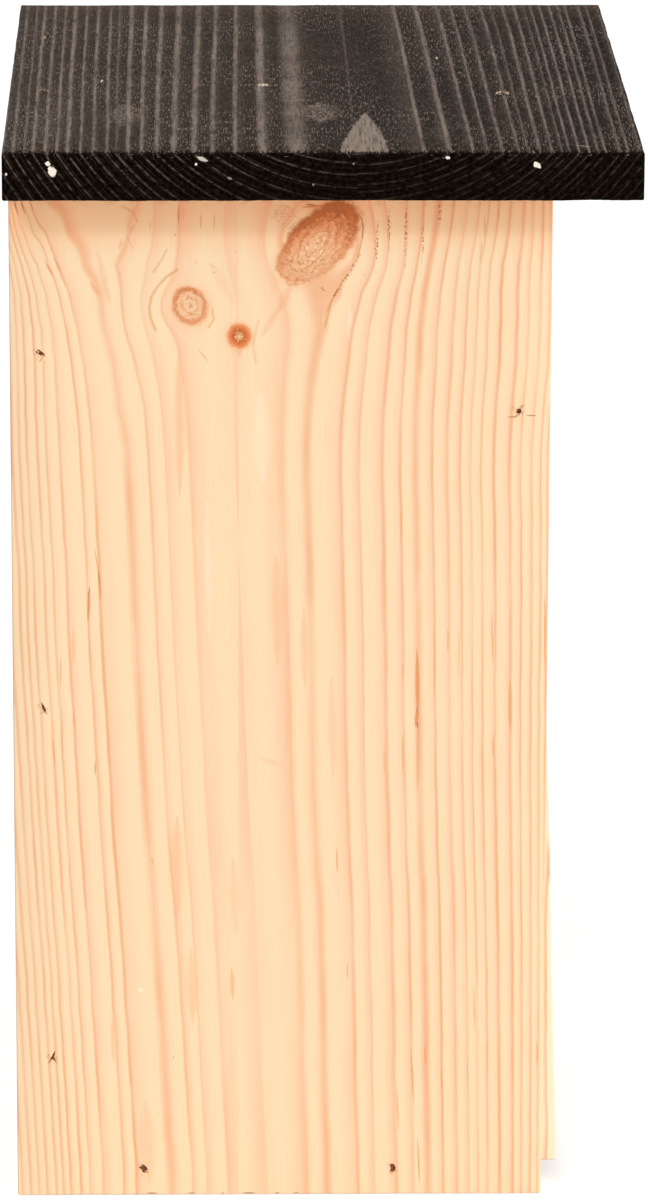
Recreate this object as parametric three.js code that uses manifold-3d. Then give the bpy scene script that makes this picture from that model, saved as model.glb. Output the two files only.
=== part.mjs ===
// A bird nest box of planed pine boards with a flat dark-stained roof that overhangs the front.
// The front is a door that turns on two nails near its top and is kept shut by a bent screw hook.
// A keyhole plate on the back hangs the box up.
// Millimetres. +Z is up, the door faces -Y, and the origin is the middle of the box's underside.

import * as THREE from 'three';
import { mergeVertices } from 'three/addons/utils/BufferGeometryUtils.js';
import Module from 'manifold-3d';

const wasm = await Module();
wasm.setup();

// Box
const boardThickness = 12;
const sideDepth = 135;
const sideHeight = 265;
const innerWidth = 146;
const floorThickness = 12;
const drainCorner = 10; // leg of the triangle sawn off each corner of the floor

// Roof
const roofThickness = 12;
const roofFrontOverhang = 21.8;
const roofBackOverhang = 1.2;
const roofSideOverhang = 12;

// Front rail and door
const railThickness = 12;
const railHeight = 20;
const doorThickness = 12;
const doorRecess = 2; // from the sides' front edges to the closed door's face
const doorSideGap = 0.8;
const doorTopGap = 1;
const doorBottomGap = 4;
const doorStopGap = 0.4; // from the closed door's back to the floor's front edge
const pivotBelowRoof = 56.5;
const doorAjarDegrees = 1.9; // the door hangs slightly open

// Entrance hole, and the saw cuts below it that fledglings climb by
const entranceDiameter = 32;
const entranceBelowRoof = 65;
const ladderCuts = 4;
const ladderPitch = 12;
const ladderBelowEntrance = 14;
const ladderLength = 70;
const ladderCutHeight = 2.4;
const ladderCutDepth = 1.6;

// Brads: flat wire with a T head
const bradLength = 30;
const bradWidth = 1.2;
const bradThickness = 1;
const bradHeadWidth = 2;
const bradHeadHeight = 0.9;
const bradPointLength = 1.6;
const bradSink = 0.4;

// Pivot nails: round wire with a small head
const nailLength = 40;
const nailRadius = 0.9;
const nailHeadRadius = 1.3;
const nailHeadHeight = 1.2;
const nailPointLength = 2.4;
const nailSink = 0.5;

// Catch hook: a square-bent screw hook in the right side's front edge
const hookWireRadius = 1.3;
const hookScrewLength = 14;
const hookStandoff = 6.2; // from the side's front edge to the middle of the arm
const hookBendRadius = 3;
const hookArmLength = 16;
const hookHeight = 40;

// Hanger plate with its keyhole, the pocket behind it and its two screws
const plateWidth = 46;
const plateHeight = 22;
const plateThickness = 1.5;
const plateCornerRadius = 5;
const plateBelowRoof = 30; // from the roof's underside to the plate's middle
const keyholeRadius = 4.6;
const keyholeSlotRadius = 2.3;
const keyholeSlotLength = 8.5; // between the centres of the keyhole's two rounds
const pocketRadius = 6;
const pocketDepth = 8;
const screwSpacing = 32;
const screwLength = 10;
const screwRadius = 1.4;
const screwHeadRadius = 2.6;
const screwHeadHeight = 1.2;
const screwPointLength = 2;
const screwSlotWidth = 0.6;
const screwSlotLength = 3;
const screwSlotDepth = 0.7;

// Clearances, and how far a cut runs past the face it leaves by
const fitClearance = 0.05;
const turningClearance = 0.3;
const cutOverrun = 1;

// Facets round a nail or screw, the hook's wire, and the holes and corners of larger parts
const wireFacets = 10;
const hookFacets = 10;
const hookSteps = 14;
const holeFacets = 36;
const cornerFacets = 5;

// Where the brads stand, as shares of the length that each row runs along
const backBradHeightShares = [0.142, 0.495, 0.8435]; // up the side panel
const floorBradDepthShares = [0.2405, 0.716]; // along the side panel, from its back edge
const floorBradHeightShare = 0.59; // up the floor's edge
const rearBradWidthShares = [0.26, 0.74]; // across the inner width
const roofBackBradWidthShares = [0.393, 0.764]; // across the roof, from its left edge
const roofRailBradWidthShare = 0.376;
const sideBradInsetShares = [0.775, 0.645, 0.63]; // of a board's thickness, from the box's back face
const backBradInsetShare = 0.62; // the same for the roof's brads
const railBradInsetShare = 0.33; // of the rail's thickness, from the rail's back face

const outerWidth = innerWidth + 2 * boardThickness;
const roofWidth = outerWidth + 2 * roofSideOverhang;
const roofDepth = sideDepth + roofFrontOverhang + roofBackOverhang;
const frontY = -sideDepth / 2;
const backY = sideDepth / 2;
const innerBackY = backY - boardThickness;
const doorFaceY = frontY + doorRecess;
const doorBackY = doorFaceY + doorThickness;
const pivotY = doorFaceY + doorThickness / 2;
const pivotZ = sideHeight - pivotBelowRoof;
const doorTopZ = sideHeight - railHeight - doorTopGap;
const doorWidth = innerWidth - 2 * doorSideGap;
const doorHeight = doorTopZ - doorBottomGap;
const ladderTopZ = sideHeight - entranceBelowRoof - entranceDiameter / 2 - ladderBelowEntrance;
const floorFrontY = doorBackY + doorStopGap;
const plateZ = sideHeight - plateBelowRoof;
const keyholeRoundZ = plateZ - keyholeSlotLength / 2;

// Directions
const toRight = new THREE.Vector3(1, 0, 0);
const toLeft = new THREE.Vector3(-1, 0, 0);
const toFront = new THREE.Vector3(0, -1, 0);
const toBack = new THREE.Vector3(0, 1, 0);
const upward = new THREE.Vector3(0, 0, 1);
const downward = new THREE.Vector3(0, 0, -1);

// Materials
const pine = new THREE.MeshStandardMaterial({ color: 0xfad7ac, roughness: 0.62, metalness: 0 });
const pineInside = new THREE.MeshStandardMaterial({ color: 0xf2cfa2, roughness: 0.7, metalness: 0 });
const stainedPine = new THREE.MeshStandardMaterial({ color: 0x473f3a, roughness: 0.55, metalness: 0 });
const wireSteel = new THREE.MeshStandardMaterial({ color: 0x8a7263, roughness: 0.5, metalness: 0.8 });
const zincSteel = new THREE.MeshStandardMaterial({ color: 0xb9bcbb, roughness: 0.35, metalness: 0.9 });

// Geometry helpers

function toSolid(geometry) {
  const bare = geometry.clone();
  bare.deleteAttribute('normal');
  bare.deleteAttribute('uv');
  const merged = mergeVertices(bare);
  return new wasm.Manifold(new wasm.Mesh({
    numProp: 3,
    vertProperties: new Float32Array(merged.attributes.position.array),
    triVerts: new Uint32Array(merged.index.array),
  }));
}

function toGeometry(solid) {
  const mesh = solid.getMesh();
  const geometry = new THREE.BufferGeometry();
  geometry.setAttribute('position', new THREE.BufferAttribute(mesh.vertProperties, 3));
  geometry.setIndex(new THREE.BufferAttribute(mesh.triVerts, 1));
  geometry.computeVertexNormals();
  return geometry;
}

function cutAway(geometry, cutters) {
  const remaining = cutters.reduce((solid, cutter) => solid.subtract(toSolid(cutter)), toSolid(geometry));
  return toGeometry(remaining);
}

function boxBetween(low, high) {
  const size = high.map((value, axis) => value - low[axis]);
  const centre = high.map((value, axis) => (value + low[axis]) / 2);
  return new THREE.BoxGeometry(...size).translate(...centre);
}

// A solid of revolution that runs from z = 0 down: profile holds [radius, depth] pairs.
function turned(profile, facets) {
  const points = profile.map(([radius, depth]) => new THREE.Vector2(radius, -depth));
  return new THREE.LatheGeometry(points.reverse(), facets).rotateX(Math.PI / 2);
}

// Turns local -Z to a direction and local +X to an across vector, and moves the origin to a point.
function placement(point, direction, across) {
  const zAxis = direction.clone().negate();
  const yAxis = new THREE.Vector3().crossVectors(zAxis, across);
  return new THREE.Matrix4().makeBasis(across, yAxis, zAxis).setPosition(point);
}

function placedMesh(name, geometry, material, matrix) {
  const mesh = new THREE.Mesh(geometry, material);
  mesh.name = name;
  if (matrix) mesh.applyMatrix4(matrix);
  return mesh;
}

// Fasteners: each maker gives the piece and the cutter for its hole, both driven along local -Z
// from the surface of the wood at z = 0.

function bradBody(grow, top) {
  const head = bradHeadWidth / 2 + grow;
  const shank = bradWidth / 2 + grow;
  const headBottom = -bradSink - bradHeadHeight - grow;
  const pointTop = -bradSink - bradLength + bradPointLength;
  const tip = -bradSink - bradLength - grow;
  const outline = new THREE.Shape([
    new THREE.Vector2(-head, top),
    new THREE.Vector2(-head, headBottom),
    new THREE.Vector2(-shank, headBottom),
    new THREE.Vector2(-shank, pointTop),
    new THREE.Vector2(0, tip),
    new THREE.Vector2(shank, pointTop),
    new THREE.Vector2(shank, headBottom),
    new THREE.Vector2(head, headBottom),
    new THREE.Vector2(head, top),
  ]);
  const depth = bradThickness + 2 * grow;
  return new THREE.ExtrudeGeometry(outline, { depth, bevelEnabled: false })
    .translate(0, 0, -depth / 2)
    .rotateX(Math.PI / 2);
}

function brad(name, point, direction, across) {
  const matrix = placement(point, direction, across);
  return {
    mesh: placedMesh(name, bradBody(0, -bradSink), wireSteel, matrix),
    cutter: bradBody(fitClearance, cutOverrun).applyMatrix4(matrix),
  };
}

function nailBody(grow, top, shankGrow) {
  const headBottom = nailSink + nailHeadHeight + grow;
  const pointTop = nailSink + nailLength - nailPointLength;
  return turned([
    [0, top],
    [nailHeadRadius + grow, top],
    [nailHeadRadius + grow, headBottom],
    [nailRadius + shankGrow, headBottom],
    [nailRadius + shankGrow, pointTop],
    [0, nailSink + nailLength + shankGrow],
  ], wireFacets);
}

function pivotNail(name, point, direction) {
  const matrix = placement(point, direction, upward);
  return {
    mesh: placedMesh(name, nailBody(0, nailSink, 0), wireSteel, matrix),
    sideCutter: nailBody(fitClearance, -cutOverrun, fitClearance).applyMatrix4(matrix),
    doorCutter: nailBody(turningClearance, -cutOverrun, turningClearance).applyMatrix4(matrix),
  };
}

function screwBody(grow, top) {
  const neck = screwRadius + grow;
  return turned([
    [0, top],
    [screwHeadRadius + grow, top],
    ...(top < 0 ? [[screwHeadRadius + grow, 0]] : []),
    [neck, screwHeadHeight],
    [neck, screwLength - screwPointLength],
    [0, screwLength + grow],
  ], wireFacets);
}

function hangerScrew(name, point, direction) {
  const matrix = placement(point, direction, upward);
  const slots = [
    new THREE.BoxGeometry(screwSlotLength, screwSlotWidth, 2 * screwSlotDepth),
    new THREE.BoxGeometry(screwSlotWidth, screwSlotLength, 2 * screwSlotDepth),
  ];
  return {
    mesh: placedMesh(name, cutAway(screwBody(0, 0), slots), zincSteel, matrix),
    cutter: screwBody(fitClearance, -cutOverrun).applyMatrix4(matrix),
  };
}

// The fasteners of one side panel: sign is -1 on the left and 1 on the right.
function sideFasteners(label, sign) {
  const faceX = sign * outerWidth / 2;
  const inward = sign < 0 ? toRight : toLeft;
  const backBradY = sideBradInsetShares.map((share) => backY - share * boardThickness);
  const floorBradZ = floorBradHeightShare * floorThickness;
  const backBrads = backBradHeightShares.map((share, index) => brad(
    `${label}_back_brad_${index + 1}`,
    new THREE.Vector3(faceX, backBradY[index], share * sideHeight),
    inward,
    upward,
  ));
  const floorBrads = floorBradDepthShares.map((share, index) => brad(
    `${label}_floor_brad_${index + 1}`,
    new THREE.Vector3(faceX, backY - share * sideDepth, floorBradZ),
    inward,
    upward,
  ));
  const nail = pivotNail(`${label}_pivot_nail`, new THREE.Vector3(faceX, pivotY, pivotZ), inward);
  return { backBrads, floorBrads, nail };
}

function roofFasteners() {
  const topZ = sideHeight + roofThickness;
  const acrossRoof = (share) => (share - 1 / 2) * roofWidth;
  const backBradY = backY - backBradInsetShare * boardThickness;
  const railBradY = frontY + doorRecess + (1 - railBradInsetShare) * railThickness;
  const backBrads = roofBackBradWidthShares.map((share, index) => brad(
    `roof_back_brad_${index + 1}`,
    new THREE.Vector3(acrossRoof(share), backBradY, topZ),
    downward,
    toBack,
  ));
  const railPoint = new THREE.Vector3(acrossRoof(roofRailBradWidthShare), railBradY, topZ);
  return { backBrads, railBrad: brad('roof_rail_brad', railPoint, downward, toBack) };
}

function rearBrads() {
  return rearBradWidthShares.map((share, index) => brad(
    `back_floor_brad_${index + 1}`,
    new THREE.Vector3((share - 1 / 2) * innerWidth, backY, floorThickness / 2),
    toFront,
    upward,
  ));
}

// Boards

function sidePanel(name, sign, fasteners, extraCutters) {
  const inner = sign * innerWidth / 2;
  const outer = sign * outerWidth / 2;
  const board = boxBetween(
    [Math.min(inner, outer), frontY, 0],
    [Math.max(inner, outer), backY, sideHeight],
  );
  const brads = [...fasteners.backBrads, ...fasteners.floorBrads].map((piece) => piece.cutter);
  return placedMesh(name, cutAway(board, [...brads, fasteners.nail.sideCutter, ...extraCutters]), pine);
}

function backBoard(cutters) {
  const board = boxBetween([-innerWidth / 2, innerBackY, 0], [innerWidth / 2, backY, sideHeight]);
  return placedMesh('back_board', cutAway(board, [hangerPocket(), ...cutters]), pine);
}

function floorBoard(cutters) {
  const x = innerWidth / 2;
  const outline = new THREE.Shape([
    new THREE.Vector2(-x + drainCorner, floorFrontY),
    new THREE.Vector2(x - drainCorner, floorFrontY),
    new THREE.Vector2(x, floorFrontY + drainCorner),
    new THREE.Vector2(x, innerBackY - drainCorner),
    new THREE.Vector2(x - drainCorner, innerBackY),
    new THREE.Vector2(-x + drainCorner, innerBackY),
    new THREE.Vector2(-x, innerBackY - drainCorner),
    new THREE.Vector2(-x, floorFrontY + drainCorner),
  ]);
  const board = new THREE.ExtrudeGeometry(outline, { depth: floorThickness, bevelEnabled: false });
  return placedMesh('floor_board', cutAway(board, cutters), pineInside);
}

function roofBoard(cutters) {
  const board = boxBetween(
    [-roofWidth / 2, frontY - roofFrontOverhang, sideHeight],
    [roofWidth / 2, backY + roofBackOverhang, sideHeight + roofThickness],
  );
  return placedMesh('roof_board', cutAway(board, cutters), stainedPine);
}

function frontRail(cutters) {
  const rail = boxBetween(
    [-innerWidth / 2, doorFaceY, sideHeight - railHeight],
    [innerWidth / 2, doorFaceY + railThickness, sideHeight],
  );
  return placedMesh('front_rail', cutAway(rail, cutters), pine);
}

// The door is cut where it hangs when closed, then turned about its pivot to hang ajar.
function frontDoor(nails) {
  const board = boxBetween(
    [-doorWidth / 2, doorFaceY, doorBottomGap],
    [doorWidth / 2, doorBackY, doorBottomGap + doorHeight],
  );
  const throughLength = doorThickness + 2 * cutOverrun;
  const entrance = new THREE.CylinderGeometry(
    entranceDiameter / 2, entranceDiameter / 2, throughLength, holeFacets,
  ).translate(0, doorFaceY + doorThickness / 2, sideHeight - entranceBelowRoof);
  const ladder = Array.from({ length: ladderCuts }, (_, index) => {
    const top = ladderTopZ - index * ladderPitch;
    return boxBetween(
      [-ladderLength / 2, doorBackY - ladderCutDepth, top - ladderCutHeight],
      [ladderLength / 2, doorBackY + cutOverrun, top],
    );
  });
  const cutters = [entrance, ...ladder, ...nails.map((nail) => nail.doorCutter)];
  const door = placedMesh('front_door', cutAway(board, cutters).translate(0, -pivotY, -pivotZ), pine);
  const hinge = new THREE.Group();
  hinge.position.set(0, pivotY, pivotZ);
  hinge.rotation.x = -THREE.MathUtils.degToRad(doorAjarDegrees);
  hinge.add(door);
  return hinge;
}

// Catch hook: its origin is where the wire leaves the side's front edge.
function catchHook() {
  const armY = -hookStandoff;
  const path = new THREE.CurvePath();
  path.add(new THREE.LineCurve3(
    new THREE.Vector3(0, hookScrewLength, 0),
    new THREE.Vector3(0, armY + hookBendRadius, 0),
  ));
  path.add(new THREE.QuadraticBezierCurve3(
    new THREE.Vector3(0, armY + hookBendRadius, 0),
    new THREE.Vector3(0, armY, 0),
    new THREE.Vector3(0, armY, -hookBendRadius),
  ));
  path.add(new THREE.LineCurve3(
    new THREE.Vector3(0, armY, -hookBendRadius),
    new THREE.Vector3(0, armY, -hookArmLength),
  ));
  const section = new THREE.Shape().setFromPoints(
    Array.from({ length: hookFacets }, (_, index) => {
      const angle = 2 * Math.PI * index / hookFacets;
      return new THREE.Vector2(hookWireRadius * Math.cos(angle), hookWireRadius * Math.sin(angle));
    }),
  );
  const wire = new THREE.ExtrudeGeometry(section, { steps: hookSteps, extrudePath: path });
  const mesh = placedMesh('catch_hook', wire, zincSteel);
  mesh.position.set(innerWidth / 2 + boardThickness / 2, frontY, hookHeight);
  return mesh;
}

function hookHole() {
  const radius = hookWireRadius + turningClearance;
  const length = hookScrewLength + turningClearance + cutOverrun;
  return new THREE.CylinderGeometry(radius, radius, length, wireFacets).translate(
    innerWidth / 2 + boardThickness / 2,
    frontY - cutOverrun + length / 2,
    hookHeight,
  );
}

// An upright slot with round ends, in its own plane; centres a length apart, the lower one at the origin.
function keyholeSlot(radius, length, path) {
  path.moveTo(radius, 0);
  path.lineTo(radius, length);
  path.absarc(0, length, radius, 0, Math.PI, false);
  path.lineTo(-radius, 0);
  path.absarc(0, 0, radius, Math.PI, 2 * Math.PI, false);
  return path;
}

function hangerPocket() {
  const outline = keyholeSlot(pocketRadius, keyholeSlotLength, new THREE.Shape());
  return new THREE.ExtrudeGeometry(outline, {
    depth: pocketDepth + cutOverrun, bevelEnabled: false, curveSegments: cornerFacets,
  })
    .rotateX(Math.PI / 2)
    .translate(0, backY + cutOverrun, keyholeRoundZ);
}

// The keyhole: a round hole that takes a wall screw's head, under a slot as wide as its shank.
function keyholeOutline() {
  const shoulderY = Math.sqrt(keyholeRadius ** 2 - keyholeSlotRadius ** 2);
  const shoulderAngle = Math.atan2(shoulderY, keyholeSlotRadius);
  const outline = new THREE.Path();
  outline.moveTo(keyholeSlotRadius, shoulderY);
  outline.lineTo(keyholeSlotRadius, keyholeSlotLength);
  outline.absarc(0, keyholeSlotLength, keyholeSlotRadius, 0, Math.PI, false);
  outline.lineTo(-keyholeSlotRadius, shoulderY);
  outline.absarc(0, 0, keyholeRadius, Math.PI - shoulderAngle, 2 * Math.PI + shoulderAngle, false);
  return outline;
}

function hangerPlate(screwCutters) {
  const x = plateWidth / 2 - plateCornerRadius;
  const low = -plateHeight / 2 + keyholeSlotLength / 2 + plateCornerRadius;
  const high = plateHeight / 2 + keyholeSlotLength / 2 - plateCornerRadius;
  const outline = new THREE.Shape();
  outline.absarc(x, low, plateCornerRadius, -Math.PI / 2, 0, false);
  outline.absarc(x, high, plateCornerRadius, 0, Math.PI / 2, false);
  outline.absarc(-x, high, plateCornerRadius, Math.PI / 2, Math.PI, false);
  outline.absarc(-x, low, plateCornerRadius, Math.PI, 3 * Math.PI / 2, false);
  outline.holes.push(keyholeOutline());
  const plate = new THREE.ExtrudeGeometry(outline, {
    depth: plateThickness, bevelEnabled: false, curveSegments: cornerFacets,
  })
    .rotateX(Math.PI / 2)
    .translate(0, backY + plateThickness, keyholeRoundZ);
  return placedMesh('hanger_plate', cutAway(plate, screwCutters), zincSteel);
}

function hangerScrews() {
  return [['left', -1], ['right', 1]].map(([label, sign]) => hangerScrew(
    `hanger_screw_${label}`,
    new THREE.Vector3(sign * screwSpacing / 2, backY + plateThickness, plateZ),
    toFront,
  ));
}

// Assembly

const left = sideFasteners('left', -1);
const right = sideFasteners('right', 1);
const roof = roofFasteners();
const rear = rearBrads();
const screws = hangerScrews();
const cuttersOf = (pieces) => pieces.map((piece) => piece.cutter);
const meshesOf = (pieces) => pieces.map((piece) => piece.mesh);

const group = new THREE.Group();
group.add(
  sidePanel('left_side', -1, left, []),
  sidePanel('right_side', 1, right, [hookHole()]),
  backBoard(cuttersOf([...left.backBrads, ...right.backBrads, ...roof.backBrads, ...rear, ...screws])),
  floorBoard(cuttersOf([...left.floorBrads, ...right.floorBrads, ...rear])),
  roofBoard(cuttersOf([...roof.backBrads, roof.railBrad])),
  frontRail([roof.railBrad.cutter]),
  frontDoor([left.nail, right.nail]),
  catchHook(),
  hangerPlate(cuttersOf(screws)),
  ...meshesOf([...left.backBrads, ...left.floorBrads, left.nail]),
  ...meshesOf([...right.backBrads, ...right.floorBrads, right.nail]),
  ...meshesOf([...roof.backBrads, roof.railBrad, ...rear, ...screws]),
);

export default group;
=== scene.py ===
# A bird nest box of planed pine with a dark stained roof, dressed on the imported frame.
# Metres in the mesh, millimetres in the dictionaries.
import math

import bmesh
import bpy
from mathutils import Matrix, Vector, noise


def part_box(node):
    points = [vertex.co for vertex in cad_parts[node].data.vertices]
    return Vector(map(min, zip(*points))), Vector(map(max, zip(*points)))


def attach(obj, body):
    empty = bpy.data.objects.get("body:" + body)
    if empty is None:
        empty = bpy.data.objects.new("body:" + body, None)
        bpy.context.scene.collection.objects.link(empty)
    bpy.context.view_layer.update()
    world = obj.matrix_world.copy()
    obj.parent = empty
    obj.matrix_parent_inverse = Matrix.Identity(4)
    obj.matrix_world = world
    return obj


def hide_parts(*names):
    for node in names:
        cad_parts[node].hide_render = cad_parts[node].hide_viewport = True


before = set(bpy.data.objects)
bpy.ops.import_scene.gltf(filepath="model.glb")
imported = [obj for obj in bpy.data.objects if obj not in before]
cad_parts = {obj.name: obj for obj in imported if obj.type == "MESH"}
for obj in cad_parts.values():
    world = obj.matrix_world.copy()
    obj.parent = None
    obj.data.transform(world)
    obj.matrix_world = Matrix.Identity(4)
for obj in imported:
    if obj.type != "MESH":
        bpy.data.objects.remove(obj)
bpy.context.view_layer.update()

mm = 0.001
# faces that several pieces share, in mm from the middle or the ground
sideFace, backFace, roofTop, roofEnd = 85.0, 67.5, 277.0, 97.0
print("frame loaded:", len(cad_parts), "nodes")


# Camera, light and floor

photoView = {
    "at": (-1.7041, 0.0212, 0.6200),  # metres
    "yaw": -1.14, "pitch": 15.87, "roll": 0.19,
    "focalPixels": 6684.0, "pictureHeight": 1200.0, "sensor": 36.0,
}


def placeCamera(look):
    yaw, pitch, roll = (math.radians(look[key]) for key in ("yaw", "pitch", "roll"))
    ahead = Vector((math.cos(pitch) * math.cos(yaw), math.cos(pitch) * math.sin(yaw), -math.sin(pitch)))
    across = ahead.cross(Vector((0, 0, 1))).normalized()
    above = across.cross(ahead)
    right = across * math.cos(roll) + above * math.sin(roll)
    top = above * math.cos(roll) - across * math.sin(roll)
    lens = bpy.data.cameras.new("photo_camera")
    lens.sensor_width = look["sensor"]
    lens.lens = look["sensor"] * look["focalPixels"] / look["pictureHeight"]
    lens.clip_start, lens.clip_end = 0.05, 60
    camera = bpy.data.objects.new("photo_camera", lens)
    turn = Matrix((right, top, -ahead)).transposed().to_4x4()
    camera.matrix_world = Matrix.Translation(look["at"]) @ turn
    bpy.context.scene.collection.objects.link(camera)
    bpy.context.scene.camera = camera


studio = {
    "sky": 0.46,  # what the white room gives every face
    # the way each sun's light travels, its level and its softness in degrees
    "suns": {
        "key_light": ((0.66, -0.38, -0.62), 0.17, 8.0),
        "fill_light": ((0.62, 0.74, -0.075), 0.63, 8.5),
        "far_light": ((-0.95, -0.28, -0.1), 0.32, 16.0),
    },
    "floorTone": 0.80, "floorGlow": 0.58, "floorReach": 9.0, "floorDrop": 0.0002,
}


def addSun(name, travel, level, softness):
    lamp = bpy.data.lights.new(name, "SUN")
    lamp.energy = level * math.pi
    lamp.angle = math.radians(softness)
    sun = bpy.data.objects.new(name, lamp)
    sun.rotation_mode = "QUATERNION"
    sun.rotation_quaternion = Vector(travel).to_track_quat("-Z", "Y")
    bpy.context.scene.collection.objects.link(sun)


# Node wiring, shared by the materials and the Geometry Nodes trees


class Wires:
    def __init__(self, tree):
        self.tree = tree

    def node(self, kind, sources=None, **settings):
        made = self.tree.nodes.new(kind)
        for key, value in settings.items():
            setattr(made, key, value)
        for key, source in (sources or {}).items():
            self.feed(made.inputs[key], source)
        return made

    def feed(self, socket, source):
        if isinstance(source, bpy.types.NodeSocket):
            self.tree.links.new(source, socket)
        else:
            socket.default_value = source

    def calc(self, operation, *sources, clamp=False):
        made = self.node("ShaderNodeMath", operation=operation, use_clamp=clamp)
        for socket, source in zip(made.inputs, sources):
            self.feed(socket, source)
        return made.outputs[0]

    def total(self, *sources):
        result = sources[0]
        for source in sources[1:]:
            result = self.calc("ADD", result, source)
        return result

    def product(self, *sources):
        result = sources[0]
        for source in sources[1:]:
            result = self.calc("MULTIPLY", result, source)
        return result

    def minus(self, first, second):
        return self.calc("SUBTRACT", first, second)

    def ratio(self, first, second):
        return self.calc("DIVIDE", first, second)

    def absolute(self, source):
        return self.calc("ABSOLUTE", source)

    def multiplyAdd(self, source, factor, extra, clamp=False):
        return self.calc("MULTIPLY_ADD", source, factor, extra, clamp=clamp)

    def between(self, source, low, high, first=0.0, last=1.0, smooth=True):
        made = self.node("ShaderNodeMapRange", interpolation_type="SMOOTHSTEP" if smooth else "LINEAR")
        for socket, value in zip(made.inputs, (source, low, high, first, last)):
            self.feed(socket, value)
        return made.outputs[0]

    def blend(self, share, first, second, kind="MIX"):
        made = self.node("ShaderNodeMix", data_type="RGBA", blend_type=kind, clamp_factor=True)
        for place, source in ((0, share), (6, first), (7, second)):
            self.feed(made.inputs[place], source)
        return made.outputs[2]

    def curve(self, source, points):
        places, heights = zip(*points)
        start, span = places[0], places[-1] - places[0]
        low, rise = min(heights), max(heights) - min(heights)
        scaled = self.calc("DIVIDE", self.minus(source, start), span, clamp=True)
        made = self.node("ShaderNodeFloatCurve", {"Value": scaled})
        line = made.mapping.curves[0]
        fitted = [((x - start) / span, (y - low) / rise) for x, y in points]
        line.points[0].location, line.points[1].location = fitted[0], fitted[-1]
        for place in fitted[1:-1]:
            line.points.new(*place)
        for point in line.points:
            point.handle_type = "VECTOR"
        made.mapping.update()
        return self.multiplyAdd(made.outputs[0], rise, low)

    def ramp(self, source, stops):
        made = self.node("ShaderNodeValToRGB", {"Fac": source})
        made.color_ramp.elements[0].position, made.color_ramp.elements[1].position = stops[0][0], stops[-1][0]
        for place, _ in stops[1:-1]:
            made.color_ramp.elements.new(place)
        for element, (_, colour) in zip(made.color_ramp.elements, stops):
            element.color = colour
        return made.outputs["Color"]

    def point(self, x, y, z):
        return self.node("ShaderNodeCombineXYZ", {"X": x, "Y": y, "Z": z}).outputs[0]

    def cloud(self, place, scale, detail=2.0, roughness=0.5, distortion=0.0):
        return self.node("ShaderNodeTexNoise", {
            "Vector": place, "Scale": scale, "Detail": detail,
            "Roughness": roughness, "Distortion": distortion,
        }).outputs["Fac"]

    # noise stretched by its own amount in each of two directions
    def patches(self, first, firstScale, second, secondScale, seed, detail, roughness=0.5):
        place = self.point(self.product(first, firstScale), self.product(second, secondScale), seed)
        return self.cloud(place, 1.0, detail, roughness)

    def chance(self, source):
        return self.node("ShaderNodeTexWhiteNoise", {"W": source}, noise_dimensions="1D").outputs["Value"]

    def vector(self, operation, *sources):
        made = self.node("ShaderNodeVectorMath", operation=operation)
        for socket, source in zip(made.inputs, sources):
            self.feed(socket, source)
        return made.outputs["Value" if operation in ("DOT_PRODUCT", "DISTANCE") else "Vector"]

    def scaled(self, direction, amount):
        made = self.node("ShaderNodeVectorMath", {"Vector": direction, "Scale": amount}, operation="SCALE")
        return made.outputs[0]


def shade(red, green, blue):
    def linear(value):
        value /= 255
        return value / 12.92 if value <= 0.04045 else ((value + 0.055) / 1.055) ** 2.4
    return (linear(red), linear(green), linear(blue), 1.0)


def newGroup(name, inputs, outputs):
    tree = bpy.data.node_groups.new(name, "ShaderNodeTree")
    for label, value in inputs.items():
        kind = "NodeSocketVector" if isinstance(value, tuple) else "NodeSocketFloat"
        tree.interface.new_socket(label, in_out="INPUT", socket_type=kind).default_value = value
    for label in outputs:
        tree.interface.new_socket(label, in_out="OUTPUT", socket_type="NodeSocketFloat")
    wires = Wires(tree)
    return tree, wires, wires.node("NodeGroupInput").outputs, wires.node("NodeGroupOutput").inputs


# How far a point of a board's face lies from a leaning oval's middle: 1 is on its rim
def ovalGroup():
    tree, w, given, result = newGroup(
        "ovalReach",
        {"Lateral": 0, "Along": 0, "At Lateral": 0, "At Along": 0,
         "Half Width": 1, "Half Length": 1, "Lean": 0},
        ["Reach"],
    )
    across = w.minus(given["Lateral"], given["At Lateral"])
    along = w.minus(given["Along"], given["At Along"])
    cosine, sine = w.calc("COSINE", given["Lean"]), w.calc("SINE", given["Lean"])
    wide = w.minus(w.product(across, cosine), w.product(along, sine))
    long = w.total(w.product(across, sine), w.product(along, cosine))
    wide = w.calc("POWER", w.absolute(w.ratio(wide, given["Half Width"])), 2.0)
    long = w.calc("POWER", w.absolute(w.ratio(long, given["Half Length"])), 2.0)
    w.feed(result["Reach"], w.calc("SQRT", w.total(wide, long)))
    return tree


# How far the grain is pushed sideways as it flows round a knot
def flowGroup():
    tree, w, given, result = newGroup(
        "flowRoundKnot",
        {"Lateral": 0, "Along": 0, "At Lateral": 0, "At Along": 0, "Radius": 5, "Stretch": 1},
        ["Push"],
    )
    across = w.minus(given["Lateral"], given["At Lateral"])
    along = w.product(w.minus(given["Along"], given["At Along"]), given["Stretch"])
    square = w.product(given["Radius"], given["Radius"])
    reach = w.total(w.product(across, across), w.product(along, along), w.product(square, 0.15))
    w.feed(result["Push"], w.ratio(w.product(across, square), reach))
    return tree


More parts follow.
